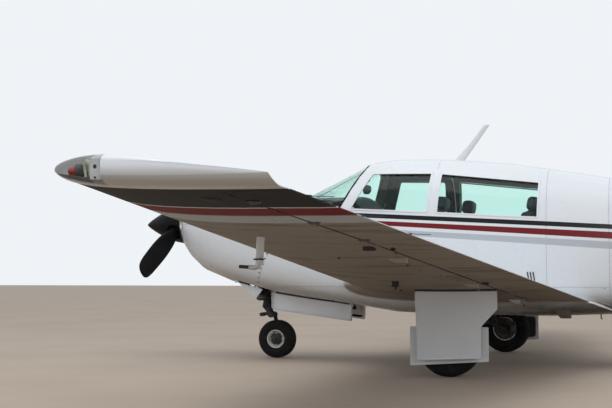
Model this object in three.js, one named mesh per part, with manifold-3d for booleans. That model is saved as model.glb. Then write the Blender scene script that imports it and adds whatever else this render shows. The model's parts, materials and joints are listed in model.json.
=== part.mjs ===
// Light aircraft: low wing, four seats, one engine, wheels down, as it parks.
// Millimetres. +X is the port side, -Y the nose, +Z up. Stations along Y are measured from the
// main axle line, and the whole aircraft is moved at the end so that its box is centred on the origin.
import * as THREE from "three";
import { mergeVertices } from "three/addons/utils/BufferGeometryUtils.js";
import Module from "manifold-3d";

const wasm = await Module();
wasm.setup();

// Driving dimensions
const HALF_SPAN = 5500;
const SPINNER_TIP = -3103;
const SPINNER_LENGTH = 406;
const RUDDER_END = 4417;
const SEAT_GAP = 0.3;
const MOVING_GAP = 5;
const SKIN = 36;
const COWL_SKIN = 10;
const TAIL_SKIN = 12;
const CABIN_FLOOR = 620;
const FOOTWELL_FLOOR = 800;
const FIREWALL = -1800;
const CABIN_END = 1070;
const TAILCONE_END = 4010;
const THRUST_LINE = 1196;
const PROPELLER_STATION = -2772;
const PROPELLER_RADIUS = 906;
const BLADE_ANGLE = -30;
const MAIN_TRACK = 2790;
const MAIN_TYRE_RADIUS = 222;
const NOSE_AXLE_STATION = -1818;
const NOSE_TYRE_RADIUS = 166;
const COWL_FLAP_DROOP = 40;

// Material colours, taken from the finish of each piece
const paint = new THREE.MeshStandardMaterial({ color: 0xe9ebee, roughness: 0.25, metalness: 0.1 });
const blackPaint = new THREE.MeshStandardMaterial({ color: 0x0e0f12, roughness: 0.35, metalness: 0.2 });
const tintedGlass = new THREE.MeshStandardMaterial({ color: 0x8fc4be, roughness: 0.05, metalness: 0 });
const clearLens = new THREE.MeshStandardMaterial({ color: 0xd8dde0, roughness: 0.05, metalness: 0 });
const steel = new THREE.MeshStandardMaterial({ color: 0x77787a, roughness: 0.45, metalness: 0.8 });
const castMetal = new THREE.MeshStandardMaterial({ color: 0x4a4b4e, roughness: 0.6, metalness: 0.6 });
const tyreRubber = new THREE.MeshStandardMaterial({ color: 0x17181a, roughness: 0.9, metalness: 0 });
const rimMetal = new THREE.MeshStandardMaterial({ color: 0xc9c8c2, roughness: 0.4, metalness: 0.6 });
const upholstery = new THREE.MeshStandardMaterial({ color: 0x2a2d33, roughness: 0.8, metalness: 0 });
const panelPlastic = new THREE.MeshStandardMaterial({ color: 0x1b1c1e, roughness: 0.7, metalness: 0 });

// Body sections along Y. The half width is reached at the wide height.
const BODY = [
  { y: -2690, low: 1014, top: 1388, half: 182, wide: 1198, upper: 2.0, lower: 2.0 },
  { y: -2655, low: 954, top: 1405, half: 240, wide: 1194, upper: 2.1, lower: 2.1 },
  { y: -2580, low: 872, top: 1420, half: 334, wide: 1178, upper: 2.3, lower: 2.2 },
  { y: -2450, low: 770, top: 1430, half: 416, wide: 1150, upper: 2.4, lower: 2.4 },
  { y: -2190, low: 674, top: 1434, half: 487, wide: 1110, upper: 2.6, lower: 2.8 },
  { y: -1800, low: 582, top: 1426, half: 524, wide: 1060, upper: 2.8, lower: 3.2 },
  { y: -1464, low: 535, top: 1413, half: 540, wide: 1020, upper: 2.9, lower: 3.8 },
  { y: -1236, low: 508, top: 1534, half: 545, wide: 1000, upper: 2.6, lower: 4.2 },
  { y: -976, low: 470, top: 1660, half: 548, wide: 980, upper: 2.6, lower: 4.5 },
  { y: -860, low: 452, top: 1699, half: 550, wide: 974, upper: 2.7, lower: 4.5 },
  { y: -640, low: 418, top: 1719, half: 552, wide: 962, upper: 2.8, lower: 4.5 },
  { y: -316, low: 406, top: 1710, half: 553, wide: 955, upper: 2.8, lower: 4.5 },
  { y: 0, low: 402, top: 1686, half: 552, wide: 950, upper: 2.8, lower: 4.5 },
  { y: 328, low: 398, top: 1649, half: 548, wide: 948, upper: 2.8, lower: 4.5 },
  { y: 620, low: 397, top: 1598, half: 540, wide: 944, upper: 2.8, lower: 4.4 },
  { y: 1070, low: 414, top: 1519, half: 505, wide: 936, upper: 2.7, lower: 4.0 },
  { y: 2200, low: 565, top: 1380, half: 330, wide: 968, upper: 2.5, lower: 3.0 },
  { y: 3300, low: 832, top: 1228, half: 168, wide: 1036, upper: 2.3, lower: 2.4 },
  { y: 4010, low: 950, top: 1186, half: 52, wide: 1080, upper: 2.2, lower: 2.2 },
];
const BODY_RING_POINTS = 28;

// Wing sections along the span: leading edge, trailing edge and thickness ratio
const WING = [
  { s: 380, yLead: -1075, zLead: 644, yTrail: 926, zTrail: 514, ratio: 0.132 },
  { s: 640, yLead: -1028, zLead: 663, yTrail: 886, zTrail: 541, ratio: 0.132 },
  { s: 1060, yLead: -817, zLead: 692, yTrail: 821, zTrail: 586, ratio: 0.148 },
  { s: 5420, yLead: -806, zLead: 1131, yTrail: 154, zTrail: 1050, ratio: 0.12 },
];
const STABILIZER = [
  { s: 40, yLead: 3262, zLead: 1085, yTrail: 4350, zTrail: 1052, ratio: 0.09 },
  { s: 1760, yLead: 3292, zLead: 1085, yTrail: 3962, zTrail: 1060, ratio: 0.09 },
];
const FIN = [
  { s: 1000, yLead: 3205, zLead: 0, yTrail: 4438.1, zTrail: 0, ratio: 0.085 },
  { s: 2528, yLead: 3310, zLead: 0, yTrail: 4052, zTrail: 0, ratio: 0.08 },
];
const WING_CAMBER = 0.02;
const AIRFOIL_STEPS = 12;
const TRAILING_HALF_THICKNESS = 2;

// Numbers between two rows of a table whose columns have the same names
function between(rows, key, value) {
  let i = 0;
  while (i < rows.length - 2 && rows[i + 1][key] < value) i += 1;
  const a = rows[i];
  const b = rows[i + 1];
  const t = (value - a[key]) / (b[key] - a[key]);
  const row = {};
  for (const column of Object.keys(a)) row[column] = a[column] + t * (b[column] - a[column]);
  return row;
}

// A closed geometry through rings of the same number of points, with a flat fan on each end.
// The diagonals lean the other way on the starboard side, so that the two sides are mirror images.
function loft(rings) {
  const count = rings[0].length;
  const positions = rings.flat().flatMap((p) => [p.x, p.y, p.z]);
  const index = [];
  for (let ring = 0; ring + 1 < rings.length; ring += 1) {
    for (let i = 0; i < count; i += 1) {
      const a = ring * count + i;
      const b = ring * count + ((i + 1) % count);
      const starboard = rings[ring][i].x + rings[ring][(i + 1) % count].x < 0;
      if (starboard) index.push(a, b, a + count, b, b + count, a + count);
      else index.push(a, b, b + count, a, b + count, a + count);
    }
  }
  for (const [first, sign] of [[0, -1], [(rings.length - 1) * count, 1]]) {
    const centre = new THREE.Vector3();
    for (let i = 0; i < count; i += 1) {
      centre.add(rings[first / count][i]);
    }
    centre.divideScalar(count);
    const hub = positions.length / 3;
    positions.push(centre.x, centre.y, centre.z);
    for (let i = 0; i < count; i += 1) {
      const a = first + i;
      const b = first + ((i + 1) % count);
      index.push(...(sign > 0 ? [hub, a, b] : [hub, b, a]));
    }
  }
  const geometry = new THREE.BufferGeometry();
  geometry.setAttribute("position", new THREE.Float32BufferAttribute(positions, 3));
  geometry.setIndex(index);
  return geometry;
}

// Six times the enclosed volume, negative where the faces point inwards
function signedVolume(positions, index) {
  let total = 0;
  for (let i = 0; i < index.length; i += 3) {
    const [a, b, c] = [0, 1, 2].map((k) => new THREE.Vector3().fromArray(positions, index[i + k] * 3));
    total += a.dot(b.cross(c));
  }
  return total;
}

// Solid of a closed geometry, faces turned outwards
function solid(geometry) {
  const bare = geometry.clone();
  bare.deleteAttribute("normal");
  bare.deleteAttribute("uv");
  const merged = mergeVertices(bare, 1e-3);
  const positions = merged.attributes.position.array;
  const index = Uint32Array.from(merged.index.array);
  if (signedVolume(positions, index) < 0) index.reverse();
  const mesh = new wasm.Mesh({ numProp: 3, vertProperties: Float32Array.from(positions), triVerts: index });
  return new wasm.Manifold(mesh);
}

function union(solids) {
  return solids.reduce((joined, next) => joined.add(next));
}

function box(x0, x1, y0, y1, z0, z1) {
  const geometry = new THREE.BoxGeometry(x1 - x0, y1 - y0, z1 - z0);
  geometry.translate((x0 + x1) / 2, (y0 + y1) / 2, (z0 + z1) / 2);
  return solid(geometry);
}

// Outline of [y, z] corners, each rounded by the radius, pushed along X
function sideShape(corners, x0, x1, radius = 0) {
  const shape = new THREE.Shape();
  const points = corners.map(([y, z]) => new THREE.Vector2(y, z));
  points.forEach((corner, i) => {
    const before = points[(i + points.length - 1) % points.length];
    const after = points[(i + 1) % points.length];
    const enter = corner.clone().add(before.clone().sub(corner).setLength(Math.max(radius, 0.01)));
    const leave = corner.clone().add(after.clone().sub(corner).setLength(Math.max(radius, 0.01)));
    if (radius === 0) {
      if (i === 0) shape.moveTo(corner.x, corner.y);
      else shape.lineTo(corner.x, corner.y);
      return;
    }
    if (i === 0) shape.moveTo(enter.x, enter.y);
    else shape.lineTo(enter.x, enter.y);
    shape.quadraticCurveTo(corner.x, corner.y, leave.x, leave.y);
  });
  shape.closePath();
  const geometry = new THREE.ExtrudeGeometry(shape, { depth: x1 - x0, bevelEnabled: false, curveSegments: 4 });
  const toSide = new THREE.Matrix4().makeBasis(
    new THREE.Vector3(0, 1, 0),
    new THREE.Vector3(0, 0, 1),
    new THREE.Vector3(1, 0, 0),
  );
  geometry.applyMatrix4(toSide);
  geometry.translate(x0, 0, 0);
  return solid(geometry);
}

// Round bar between two points, tapered when a second radius is given
function rod(start, end, radius, sides = 16, endRadius = radius) {
  const a = new THREE.Vector3(...start);
  const b = new THREE.Vector3(...end);
  const geometry = new THREE.CylinderGeometry(endRadius, radius, a.distanceTo(b), sides);
  const turn = new THREE.Quaternion().setFromUnitVectors(
    new THREE.Vector3(0, 1, 0),
    b.clone().sub(a).normalize(),
  );
  geometry.applyQuaternion(turn);
  const middle = a.add(b).divideScalar(2);
  geometry.translate(middle.x, middle.y, middle.z);
  return solid(geometry);
}

// Body of revolution about an axle along X, from [radius, offset] rows that close on themselves
function wheelShape(profile, centre, sides) {
  const points = profile.map(([radius, offset]) => new THREE.Vector2(radius, offset));
  points.push(points[0].clone());
  const geometry = new THREE.LatheGeometry(points, sides);
  geometry.rotateZ(-Math.PI / 2);
  geometry.translate(...centre);
  return solid(geometry);
}

const aircraft = new THREE.Group();

function addPart(name, shape, material) {
  const mesh = shape.getMesh();
  const geometry = new THREE.BufferGeometry();
  geometry.setAttribute("position", new THREE.Float32BufferAttribute(mesh.vertProperties, 3));
  geometry.setIndex(Array.from(mesh.triVerts));
  geometry.computeVertexNormals();
  const node = new THREE.Mesh(geometry, material);
  node.name = name;
  aircraft.add(node);
  return node;
}

// A port piece and its mirror image on the starboard side
function addPair(name, shape, material) {
  addPart(`${name}_left`, shape, material);
  addPart(`${name}_right`, shape, material).scale.x = -1;
}

// Body rings
function bodyPoint(section, angle) {
  const side = Math.cos(angle);
  const rise = Math.sin(angle);
  const power = 2 / (rise >= 0 ? section.upper : section.lower);
  const height = rise >= 0 ? section.top - section.wide : section.wide - section.low;
  return new THREE.Vector3(
    section.half * Math.sign(side) * Math.abs(side) ** power,
    section.y,
    section.wide + height * Math.sign(rise) * Math.abs(rise) ** power,
  );
}

function bodyRing(y, inset) {
  const section = between(BODY, "y", y);
  section.half -= inset;
  section.top -= inset;
  section.low += inset;
  const ring = [];
  for (let i = 0; i < BODY_RING_POINTS; i += 1) {
    ring.push(bodyPoint(section, (2 * Math.PI * i) / BODY_RING_POINTS));
  }
  return ring;
}

function bodyLoft(start, end, inset) {
  const inside = BODY.map((row) => row.y).filter((y) => y > start && y < end);
  return solid(loft([start, ...inside, end].map((y) => bodyRing(y, inset))));
}

// Half width of the body skin at a station and height
function skinHalfWidth(y, z) {
  const section = between(BODY, "y", y);
  const above = z >= section.wide;
  const height = above ? section.top - section.wide : section.wide - section.low;
  const power = above ? section.upper : section.lower;
  return section.half * (1 - (Math.abs(z - section.wide) / height) ** power) ** (1 / power);
}

// Aerofoil: half thickness and camber as fractions of the chord
function halfThickness(x, ratio) {
  return 5 * ratio * (0.2969 * Math.sqrt(x) - 0.126 * x - 0.3516 * x ** 2 + 0.2843 * x ** 3 - 0.1015 * x ** 4);
}

function camberLine(x, camber) {
  const peak = 0.4;
  if (x < peak) return (camber / peak ** 2) * (2 * peak * x - x ** 2);
  return (camber / (1 - peak) ** 2) * (1 - 2 * peak + 2 * peak * x - x ** 2);
}

// Upper and lower skin heights of a panel section at a station along the chord
function panelSkin(section, y, camber) {
  const chord = section.yTrail - section.yLead;
  const x = Math.min(Math.max((y - section.yLead) / chord, 0), 1);
  const base = section.zLead + x * (section.zTrail - section.zLead) + camberLine(x, camber) * chord;
  const half = Math.max(halfThickness(x, section.ratio) * chord, x > 0.5 ? TRAILING_HALF_THICKNESS : 0);
  return { upper: base + half, lower: base - half };
}

function panelRing(section, camber) {
  const ring = [];
  const chord = section.yTrail - section.yLead;
  const stationOf = (i) => section.yLead + (chord * (1 - Math.cos((Math.PI * i) / AIRFOIL_STEPS))) / 2;
  for (let i = AIRFOIL_STEPS; i >= 0; i -= 1) {
    const y = stationOf(i);
    ring.push(new THREE.Vector3(section.s, y, panelSkin(section, y, camber).upper));
  }
  for (let i = 1; i <= AIRFOIL_STEPS; i += 1) {
    const y = stationOf(i);
    ring.push(new THREE.Vector3(section.s, y, panelSkin(section, y, camber).lower));
  }
  return ring;
}

function panelLoft(rows, camber) {
  return solid(loft(rows.map((row) => panelRing(row, camber))));
}

// Hinge line of a control surface: two spans and the chord of the surface at each
function hingePoint(rows, camber, span, chord) {
  const section = between(rows, "s", span);
  const y = section.yTrail - chord;
  const skin = panelSkin(section, y, camber);
  return new THREE.Vector3(span, y, (skin.upper + skin.lower) / 2);
}

// Section of a control surface: a round nose about the hinge and straight sides to the trailing edge.
// With a clearance it is the shape of the cove that the surface turns in.
function controlRing(rows, camber, hinge, clearance) {
  const section = between(rows, "s", hinge.x);
  const skin = panelSkin(section, hinge.y, camber);
  const above = skin.upper - hinge.z;
  const below = hinge.z - skin.lower;
  const coveRadius = Math.max(above, below) + clearance;
  const ring = [];
  const arcSteps = 8;
  for (let i = 0; i <= arcSteps; i += 1) {
    const angle = Math.PI / 2 + (Math.PI * i) / arcSteps;
    const radius = clearance > 0 ? coveRadius : above + ((below - above) * i) / arcSteps;
    ring.push(new THREE.Vector3(
      hinge.x,
      hinge.y + radius * Math.cos(angle),
      hinge.z + radius * Math.sin(angle),
    ));
  }
  const over = clearance > 0 ? 60 : 0;
  const end = clearance > 0 ? coveRadius : TRAILING_HALF_THICKNESS;
  ring.push(new THREE.Vector3(hinge.x, section.yTrail + over, section.zTrail - end));
  ring.push(new THREE.Vector3(hinge.x, section.yTrail + over, section.zTrail + end));
  return ring;
}

// Block between two planes square to the hinge axis
function slab(start, end, before, after) {
  const reach = 3000;
  const axis = end.clone().sub(start).normalize();
  const length = start.distanceTo(end) + before + after;
  const geometry = new THREE.BoxGeometry(length, reach, reach);
  geometry.applyQuaternion(new THREE.Quaternion().setFromUnitVectors(new THREE.Vector3(1, 0, 0), axis));
  const middle = start.clone().add(end).divideScalar(2).addScaledVector(axis, (after - before) / 2);
  geometry.translate(middle.x, middle.y, middle.z);
  return solid(geometry);
}

// A control surface with its end pins, and the cove to cut from the panel that carries it
function controlSurface(rows, camber, spans, chords) {
  const stretch = 60;
  const hinges = spans.map((span, i) => hingePoint(rows, camber, span, chords[i]));
  const axis = hinges[1].clone().sub(hinges[0]).normalize();
  const kinks = rows.map((row) => row.s).filter((span) => span > spans[0] && span < spans[1]);
  const stations = [spans[0] - stretch, ...kinks, spans[1] + stretch].map((span) => {
    return hinges[0].clone().addScaledVector(axis, (span - spans[0]) / axis.x);
  });
  const rings = (clearance) => stations.map((hinge) => controlRing(rows, camber, hinge, clearance));
  const pinReach = MOVING_GAP - SEAT_GAP;
  const pinRadius = 7;
  const pin = rod(
    hinges[0].clone().addScaledVector(axis, -pinReach).toArray(),
    hinges[1].clone().addScaledVector(axis, pinReach).toArray(),
    pinRadius,
    12,
  );
  const surface = solid(loft(rings(0))).intersect(slab(hinges[0], hinges[1], 0, 0)).add(pin);
  const cove = solid(loft(rings(MOVING_GAP))).intersect(slab(hinges[0], hinges[1], MOVING_GAP, MOVING_GAP));
  return { surface, cove, hinges };
}

// A hinge of three knuckles on one line: the leaf keeps the middle one, the frame the outer two
function knuckleHinge(frame, leaf, start, end, radius) {
  const relief = radius + 3;
  const a = new THREE.Vector3(...start);
  const b = new THREE.Vector3(...end);
  const at = (t, step = 0) => a.clone().lerp(b, t).addScaledVector(b.clone().sub(a).normalize(), step).toArray();
  const play = SEAT_GAP / 2;
  const bar = (from, to, size) => rod(at(...from), at(...to), size, 12);
  const outer = bar([0], [1 / 3, -play], radius).add(bar([2 / 3, play], [1], radius));
  const middle = bar([1 / 3, play], [2 / 3, -play], radius);
  const outerRelief = bar([0, -3], [1 / 3, play], relief).add(bar([2 / 3, -play], [1, 3], relief));
  const middleRelief = bar([1 / 3, -play], [2 / 3, play], relief);
  return {
    frame: frame.subtract(middleRelief).add(outer),
    leaf: leaf.subtract(outerRelief).add(middle),
  };
}

// Openings in the body sides, as side outlines of [y, z] corners
const WINDSHIELD = [[-1500, 1426], [-1088, 1283], [-912, 1632], [-968, 1760], [-1500, 1760]];
const FRONT_WINDOW = [[-1002, 1270], [-830, 1577], [-320, 1564], [-345, 1232]];
const REAR_WINDOW = [[-271, 1226], [-247, 1558], [543, 1465], [536, 1174]];
const DOOR = [[-1058, 852], [-1058, 1264], [-882, 1612], [-296, 1600], [-296, 818]];
const BAGGAGE_DOOR = [[628, 1010], [628, 1380], [1016, 1380], [1016, 990]];
const WINDOW_CORNER = 14;
const GLASS_INSET = 6;
const GLASS_THICKNESS = 8;
const WIDE = 700;

// Corners moved towards the middle of their outline
function shrink(corners, margin) {
  const middle = corners.reduce(([y, z], [cy, cz]) => [y + cy / corners.length, z + cz / corners.length], [0, 0]);
  return corners.map(([y, z]) => [
    y - Math.sign(y - middle[0]) * margin,
    z - Math.sign(z - middle[1]) * margin,
  ]);
}

const outerBody = bodyLoft(FIREWALL, CABIN_END, 0);
const bodyClearance = bodyLoft(BODY[0].y, TAILCONE_END, -SEAT_GAP);

// Floor: the belly up to the cabin floor, raised under the front occupants' feet over the nose wheel well
const FOOTWELL_END = -1100;
const WALL = 12;
const insideWalls = bodyLoft(FIREWALL, CABIN_END, SKIN + SEAT_GAP);
const belly = outerBody.intersect(box(-WIDE, WIDE, -1900, 1900, 300, CABIN_FLOOR));
const raisedFloor = insideWalls.intersect(box(-WIDE, WIDE, -1900, FOOTWELL_END, CABIN_FLOOR - 1, FOOTWELL_FLOOR));
const noseWell = box(-165, 165, FIREWALL + 20, FOOTWELL_END - 30, 300, FOOTWELL_FLOOR - 30);
addPart("cabin_floor", belly.add(raisedFloor).subtract(noseWell), paint);

// Firewall in front of the footwell, and the bulkhead behind the baggage space
const aboveFootwell = box(-WIDE, WIDE, FIREWALL, FIREWALL + WALL, FOOTWELL_FLOOR + SEAT_GAP, 2000);
const behindBaggage = box(-WIDE, WIDE, CABIN_END - WALL, CABIN_END, CABIN_FLOOR + SEAT_GAP, 2000);
addPart("firewall", insideWalls.intersect(aboveFootwell), castMetal);
addPart("baggage_bulkhead", insideWalls.intersect(behindBaggage), panelPlastic);

// Cabin: side walls and roof, with the window and door openings cut through them
const cabinRoom = bodyLoft(FIREWALL - 1, CABIN_END + 1, SKIN);
const windshieldCut = sideShape(WINDSHIELD, -WIDE, WIDE, 12);
const frontWindowCut = sideShape(FRONT_WINDOW, -WIDE, WIDE, WINDOW_CORNER);
const rearWindowCut = sideShape(REAR_WINDOW, -WIDE, WIDE, WINDOW_CORNER);
const aboveFloor = box(-WIDE, WIDE, -1900, 1900, CABIN_FLOOR + SEAT_GAP, 2000);
const cabinWalls = outerBody.intersect(aboveFloor).subtract(cabinRoom);
const openCabin = cabinWalls.subtract(windshieldCut).subtract(frontWindowCut).subtract(rearWindowCut);

const doorHole = sideShape(DOOR, -WIDE, -200, 30);
const doorLeaf = sideShape(shrink(DOOR, MOVING_GAP), -WIDE, -200, 30);
const doorAxis = { x: -548, y: DOOR[0][0] + 2.5 };
const baggageAxis = { z: BAGGAGE_DOOR[1][1] - 2.5, y0: 660, y1: 980 };
const baggageHingeX = [baggageAxis.y0, baggageAxis.y1].map((y) => -skinHalfWidth(y, baggageAxis.z));

// The baggage door's sides are cut square to its hinge line, which follows the tapering skin
const baggageMiddle = [(baggageHingeX[0] + baggageHingeX[1]) / 2, (baggageAxis.y0 + baggageAxis.y1) / 2, 0];
const baggageSkew = THREE.MathUtils.radToDeg(
  Math.atan2(baggageHingeX[1] - baggageHingeX[0], baggageAxis.y1 - baggageAxis.y0),
);
function baggageCut(corners, radius) {
  return sideShape(corners, -WIDE, -200, radius)
    .translate(baggageMiddle.map((value) => -value))
    .rotate([0, 0, -baggageSkew])
    .translate(baggageMiddle);
}
const baggageHole = baggageCut(BAGGAGE_DOOR, 20);
const baggageLeaf = baggageCut(shrink(BAGGAGE_DOOR, MOVING_GAP), 20);

let frame = openCabin.subtract(doorHole).subtract(baggageHole);
let door = openCabin.intersect(doorLeaf);
let baggage = openCabin.intersect(baggageLeaf);
for (const [z0, z1] of [[885, 975], [1015, 1105]]) {
  const hinged = knuckleHinge(frame, door, [doorAxis.x, doorAxis.y, z0], [doorAxis.x, doorAxis.y, z1], 8);
  frame = hinged.frame;
  door = hinged.leaf;
}
const baggageHinge = knuckleHinge(
  frame,
  baggage,
  [baggageHingeX[0], baggageAxis.y0, baggageAxis.z],
  [baggageHingeX[1], baggageAxis.y1, baggageAxis.z],
  8,
);
frame = baggageHinge.frame;
baggage = baggageHinge.leaf;
addPart("cabin_shell", frame, paint);
addPart("cabin_door", door, paint);
addPart("baggage_door", baggage, paint);

// Glass: a thin sheet within the wall, cut just inside each opening
const glassSheet = bodyLoft(FIREWALL + 40, CABIN_END - 40, GLASS_INSET)
  .subtract(bodyLoft(FIREWALL, CABIN_END, GLASS_INSET + GLASS_THICKNESS));
const pane = (corners, x0, x1, radius) => glassSheet.intersect(sideShape(shrink(corners, SEAT_GAP), x0, x1, radius));
addPart("windshield", pane(WINDSHIELD, -WIDE, WIDE, 12), tintedGlass);
addPart("window_front_left", pane(FRONT_WINDOW, 200, WIDE, WINDOW_CORNER), tintedGlass);
addPart("window_front_right", pane(FRONT_WINDOW, -WIDE, -200, WINDOW_CORNER), tintedGlass);
addPart("window_rear_left", pane(REAR_WINDOW, 200, WIDE, WINDOW_CORNER), tintedGlass);
addPart("window_rear_right", pane(REAR_WINDOW, -WIDE, -200, WINDOW_CORNER), tintedGlass);

// Cowling: two halves, split level with the spinner, with an inlet each side of it
const INLET = { x: 238, z: THRUST_LINE, radius: 60 };
const SPLIT = THRUST_LINE - 8;
const cowlBody = bodyLoft(BODY[0].y, FIREWALL - SEAT_GAP, 0);
const cowlShell = cowlBody.subtract(bodyLoft(BODY[0].y + 14, FIREWALL, COWL_SKIN));
const crankHole = rod([0, -2800, THRUST_LINE], [0, -2600, THRUST_LINE], 82, 20);
const inlets = [-1, 1].map((side) => {
  const x = side * INLET.x;
  return rod([x, -2900, INLET.z], [x, -2480, INLET.z], INLET.radius, 16);
});
const openCowl = cowlShell.subtract(union([crankHole, ...inlets]));
const EXHAUST = { x: -308, y: -2120, radius: 26, room: 37 };
const cowlFlapHinge = { y: -2090, z: 672, x0: 70, x1: 268 };
const EXIT_SIDE = cowlFlapHinge.x1 + 8;
const EXIT_FRONT = cowlFlapHinge.y - 20;
const EXIT_END = FIREWALL + 100;
const LIP_THICKNESS = 8;
const coolingExit = box(-EXIT_SIDE, EXIT_SIDE, EXIT_FRONT, EXIT_END, 400, 720);
const exhaustHole = box(EXHAUST.x - EXHAUST.room, 1 - EXIT_SIDE, EXHAUST.y - EXHAUST.room, EXIT_END, 400, 760);
const upperCowl = openCowl.intersect(box(-WIDE, WIDE, -2900, -1700, SPLIT + SEAT_GAP, 1800));
const lowerCowl = openCowl.intersect(box(-WIDE, WIDE, -2900, -1700, 300, SPLIT)).subtract(coolingExit).subtract(exhaustHole);
const FLAP_EARS = [-1, 1].flatMap((side) => [cowlFlapHinge.x0 - 6, cowlFlapHinge.x1 + SEAT_GAP].map((x) => {
  const [a, b] = [side * x, side * (x + 6 - SEAT_GAP)].sort((p, q) => p - q);
  return box(a, b, EXIT_FRONT - LIP_THICKNESS, cowlFlapHinge.y + 8, cowlFlapHinge.z - 9, cowlFlapHinge.z + 16);
}));
const exitLip = box(-EXIT_SIDE, EXIT_SIDE, EXIT_FRONT - LIP_THICKNESS, EXIT_FRONT, 600, 700).intersect(cowlBody);
addPart("cowl_upper", upperCowl, paint);
addPart("cowl_lower", union([lowerCowl, exitLip, ...FLAP_EARS]), paint);

// Cowl flaps, hanging open about their front edge
function cowlFlap() {
  const length = 222;
  const plate = box(cowlFlapHinge.x0, cowlFlapHinge.x1, 0, length, -4, 4);
  const gusset = sideShape([[10, 0], [length, 0], [length - 4, 96]], cowlFlapHinge.x1 - 8, cowlFlapHinge.x1);
  const roll = rod([cowlFlapHinge.x0, 0, 0], [cowlFlapHinge.x1, 0, 0], 7, 12);
  return union([plate, gusset, roll]).rotate([-COWL_FLAP_DROOP, 0, 0])
    .translate([0, cowlFlapHinge.y, cowlFlapHinge.z]);
}
addPair("cowl_flap", cowlFlap(), paint);

// Engine: one closed block with its crankshaft, carried by the firewall
const engine = union([
  box(-290, 290, -2480, -2060, 960, 1300),
  box(-335, 335, -2300, -2060, 960, 1250),
  box(-170, 170, -2061, FIREWALL - SEAT_GAP - 0.1, 960, 1240),
  rod([0, -2479, THRUST_LINE], [0, -2660, THRUST_LINE], 150, 20, 90),
  rod([0, -2659, THRUST_LINE], [0, SPINNER_TIP + SPINNER_LENGTH + SEAT_GAP, THRUST_LINE], 72, 20),
]);
addPart("engine_block", engine, castMetal);

// Propeller: a hub and two twisted blades, and the spinner over them
const bladeRows = [
  { s: 40, chord: 96, thick: 60, twist: -52 },
  { s: 200, chord: 116, thick: 38, twist: -42 },
  { s: 320, chord: 150, thick: 26, twist: -34 },
  { s: 560, chord: 172, thick: 17, twist: -25 },
  { s: 760, chord: 168, thick: 12, twist: -19 },
  { s: 858, chord: 140, thick: 9, twist: -16 },
  { s: 892, chord: 98, thick: 7, twist: -15 },
  { s: PROPELLER_RADIUS, chord: 34, thick: 5, twist: -15 },
];
function blade() {
  const sides = 12;
  const rings = bladeRows.map((row) => {
    const ring = [];
    const twist = THREE.MathUtils.degToRad(row.twist);
    for (let i = 0; i < sides; i += 1) {
      const angle = (2 * Math.PI * i) / sides;
      const across = (row.chord / 2) * Math.cos(angle);
      const through = (row.thick / 2) * Math.sin(angle);
      ring.push(new THREE.Vector3(
        row.s,
        across * Math.sin(twist) + through * Math.cos(twist),
        across * Math.cos(twist) - through * Math.sin(twist),
      ));
    }
    return ring;
  });
  return solid(loft(rings));
}
const hubRadius = 58;
const portBlade = blade();
const propeller = union([
  portBlade,
  portBlade.rotate([0, 180, 0]),
  rod([-150, 0, 0], [150, 0, 0], hubRadius, 20),
]);
const spinnerProfile = [
  [0, 0], [9, 5], [28, 28], [62, 80], [104, 158], [140, 240], [162, 310], [174, 380], [175, SPINNER_LENGTH],
  [0, SPINNER_LENGTH],
];
const spinnerPoints = spinnerProfile.map(([radius, y]) => new THREE.Vector2(radius, SPINNER_TIP + y));
const spinnerShape = new THREE.LatheGeometry(spinnerPoints, 28);
const atThrustLine = (shape) => shape.rotate([0, -BLADE_ANGLE, 0]).translate([0, PROPELLER_STATION, THRUST_LINE]);
const hubHole = atThrustLine(rod([-260, 0, 0], [260, 0, 0], hubRadius + SEAT_GAP, 20));
const spinner = solid(spinnerShape).translate([0, 0, THRUST_LINE]).subtract(hubHole);
addPart("propeller", atThrustLine(propeller), blackPaint);
addPart("spinner", spinner, blackPaint);

// Wings: one panel each side, cut round the body, with coves for the flap and the aileron
const WING_END = 5380;
const aileron = controlSurface(WING, WING_CAMBER, [3800, 5310], [296, 290]);
const flap = controlSurface(WING, WING_CAMBER, [650, 3760], [384, 298]);
const wingPanel = panelLoft(WING, WING_CAMBER).intersect(box(0, WING_END, -1500, 1500, 0, 2000));
const wing = wingPanel.subtract(bodyClearance).subtract(aileron.cove).subtract(flap.cove);

// Lower skin height of the wing at a span and station
function wingUnderside(x, y) {
  return panelSkin(between(WING, "s", x), y, WING_CAMBER).lower;
}

// Tie-down lug under each wing, with a flat lower face
const TIE_DOWN = { x: 2080, y: -230, half: 18, drop: 24 };
const lugFoot = wingUnderside(TIE_DOWN.x, TIE_DOWN.y) - TIE_DOWN.drop;
const tieDownLug = box(
  TIE_DOWN.x - TIE_DOWN.half, TIE_DOWN.x + TIE_DOWN.half,
  TIE_DOWN.y - TIE_DOWN.half, TIE_DOWN.y + TIE_DOWN.half,
  lugFoot, lugFoot + 60,
);

// Hinge fairings under each wing, just ahead of the flap's nose
const FAIRINGS = [{ x: 720, drop: 88 }, { x: 1920, drop: 77 }, { x: 3280, drop: 72 }];
const FAIRING_HALF_WIDTH = 12;
function flapFairing({ x, drop }) {
  const [root, end] = flap.hinges;
  const hinge = root.clone().lerp(end, (x - root.x) / (end.x - root.x));
  const [front, knee, back] = [-185, -105, -40].map((reach) => hinge.y + reach);
  const buried = (y) => wingUnderside(x, y) + 12;
  const outline = [[front, buried(front)], [knee, hinge.z - drop], [back, hinge.z - drop], [back, buried(back)]];
  return sideShape(outline, x - FAIRING_HALF_WIDTH, x + FAIRING_HALF_WIDTH);
}
addPair("wing", union([wing, tieDownLug, ...FAIRINGS.map(flapFairing)]), paint);
addPair("aileron", aileron.surface, paint);
addPair("flap", flap.surface, paint);

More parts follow.
